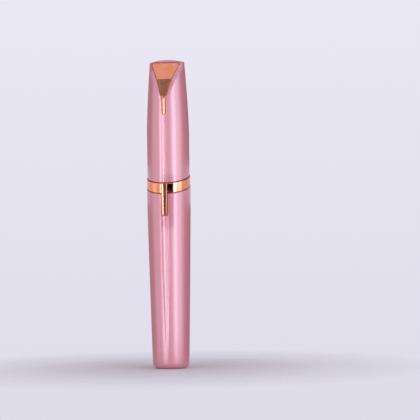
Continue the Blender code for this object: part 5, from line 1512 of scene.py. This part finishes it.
def card(name, degrees, span, distance, low, high, shade):
    """An upright strip of card, bent round the pen, that only reflections see."""
    tone = bpy.data.materials.new(name)
    tone.use_nodes = True
    tree = tone.node_tree
    tree.nodes.clear()
    glow = add_node(tree, "ShaderNodeEmission", {"Color": linear(shade), "Strength": 1.0})
    add_node(tree, "ShaderNodeOutputMaterial", links={"Surface": glow.outputs["Emission"]})
    shape = bmesh.new()
    start = from_view(degrees - span / 2) * distance
    line = [shape.verts.new((start.x, start.y, z)) for z in (low, high)]
    edge = shape.edges.new(line)
    bmesh.ops.spin(
        shape, geom=[*line, edge], cent=(0, 0, 0), axis=(0, 0, 1), angle=math.radians(span), steps=12
    )
    item = as_object(name, shape, tone)
    item.visible_camera = False
    item.visible_diffuse = False
    item.visible_shadow = False
    item.visible_transmission = False


# %% Lights and cards
LAMPS = {
    "key_light": (34, 4, 0.7, 0.24, 0.55, 1.9, "#E8EAFF"),
    "side_light": (60, 4, 0.7, 0.3, 0.55, 0.8, "#F2EDFF"),
    "front_light": (20, 4, 1.2, 0.2, 0.7, 0.5, "#F2EDFF"),
    "left_light": (-33, 0, 0.7, 0.3, 0.45, 1.9, "#F2EDFF"),
    "fill_light": (-78, 6, 0.8, 0.4, 0.6, 0.3, "#FFF6F2"),
}
CARDS = {
    "left_flag_low": (-132, 84, 0.06, -0.04, 0.07, "#A88E92"),
    "right_flag_low": (128, 92, 0.06, -0.04, 0.07, "#8E7876"),
    "left_flag_high": (-132, 84, 0.06, 0.088, 0.18, "#A88E92"),
    "right_flag_high": (128, 92, 0.06, 0.088, 0.18, "#8E7876"),
    "lens_shade": (-13, 26, 0.6, 0.24, 0.5, "#636766"),
    "pointer_shade": (0.5, 39, 0.018, 0.06, 0.083, "#4A3E3E"),
}
for name, settings in LAMPS.items():
    softbox(name, *settings)
for name, settings in CARDS.items():
    card(name, *settings)
print(len(LAMPS), "lamps and", len(CARDS), "cards")

# %% [markdown]
# ## Backdrop
#
# The backdrop is a pale lavender white. The camera, reflections and clear plastic see it at full
# brightness. Everything else is lit by a dimmer, neutral version of it. The floor is a pale disc that fades
# out before its edge would show. It catches the pen's shadow.

# %% World
DIMMED = 0.5
HORIZON = 0.1
world = bpy.data.worlds.new("studio")
bpy.context.scene.world = world
world.use_nodes = True
tree = world.node_tree
tree.nodes.clear()
direction = add_node(tree, "ShaderNodeTexCoord")
axes = add_node(tree, "ShaderNodeSeparateXYZ", links={"Vector": direction.outputs["Generated"]})
fade = add_node(
    tree, "ShaderNodeMapRange", {"From Min": -HORIZON, "From Max": HORIZON}, {"Value": axes.outputs["Z"]}
)
tint = add_node(tree, "ShaderNodeValToRGB", links={"Fac": fade.outputs["Result"]})
for stop, color in zip(tint.color_ramp.elements, ("#DFDCEA", "#EAE8F3")):
    stop.color = linear(color)
seen = add_node(tree, "ShaderNodeBackground", {"Strength": 1.0}, {"Color": tint.outputs["Color"]})
lit = add_node(tree, "ShaderNodeBackground", {"Color": linear("#F4EFF2"), "Strength": DIMMED})
path = add_node(tree, "ShaderNodeLightPath")
direct = add_node(
    tree, "ShaderNodeMath", {"operation": "MAXIMUM"},
    {0: path.outputs["Is Camera Ray"], 1: path.outputs["Is Glossy Ray"]},
)
through = add_node(
    tree, "ShaderNodeMath", {"operation": "MAXIMUM"},
    {0: direct.outputs["Value"], 1: path.outputs["Is Transmission Ray"]},
)
choice = add_node(
    tree, "ShaderNodeMixShader",
    links={"Fac": through.outputs["Value"], 1: lit.outputs["Background"], 2: seen.outputs["Background"]},
)
add_node(tree, "ShaderNodeOutputWorld", links={"Surface": choice.outputs["Shader"]})
print(world.name)

# %% Floor
FLOOR_RADIUS = 0.14
FADE_START, FADE_END = 0.012, 0.12
floor_material = bpy.data.materials.new("pale_floor")
floor_material.use_nodes = True
tree = floor_material.node_tree
tree.nodes.clear()
place = add_node(tree, "ShaderNodeTexCoord")
out = add_node(tree, "ShaderNodeVectorMath", {"operation": "LENGTH"}, {0: place.outputs["Object"]})
fade = add_node(
    tree, "ShaderNodeMapRange", {"From Min": FADE_START, "From Max": FADE_END},
    {"Value": out.outputs["Value"]},
)
grain = pattern(tree, 1.5)
paper = add_node(tree, "ShaderNodeBsdfPrincipled", {"Base Color": linear("#E9E7F0"), "Roughness": 0.7})
emboss(tree, paper, grain.outputs["Fac"], 0.02, 0.3)
clear = add_node(tree, "ShaderNodeBsdfTransparent")
mixed = add_node(
    tree, "ShaderNodeMixShader",
    links={"Fac": fade.outputs["Result"], 1: paper.outputs["BSDF"], 2: clear.outputs["BSDF"]},
)
add_node(tree, "ShaderNodeOutputMaterial", links={"Surface": mixed.outputs["Shader"]})
shape = bmesh.new()
bmesh.ops.create_circle(shape, cap_ends=True, radius=FLOOR_RADIUS, segments=FINE)
floor = as_object("floor", shape, floor_material)
floor.location.z = -0.0001
bpy.context.scene.view_settings.view_transform = "Standard"
print("floor laid")
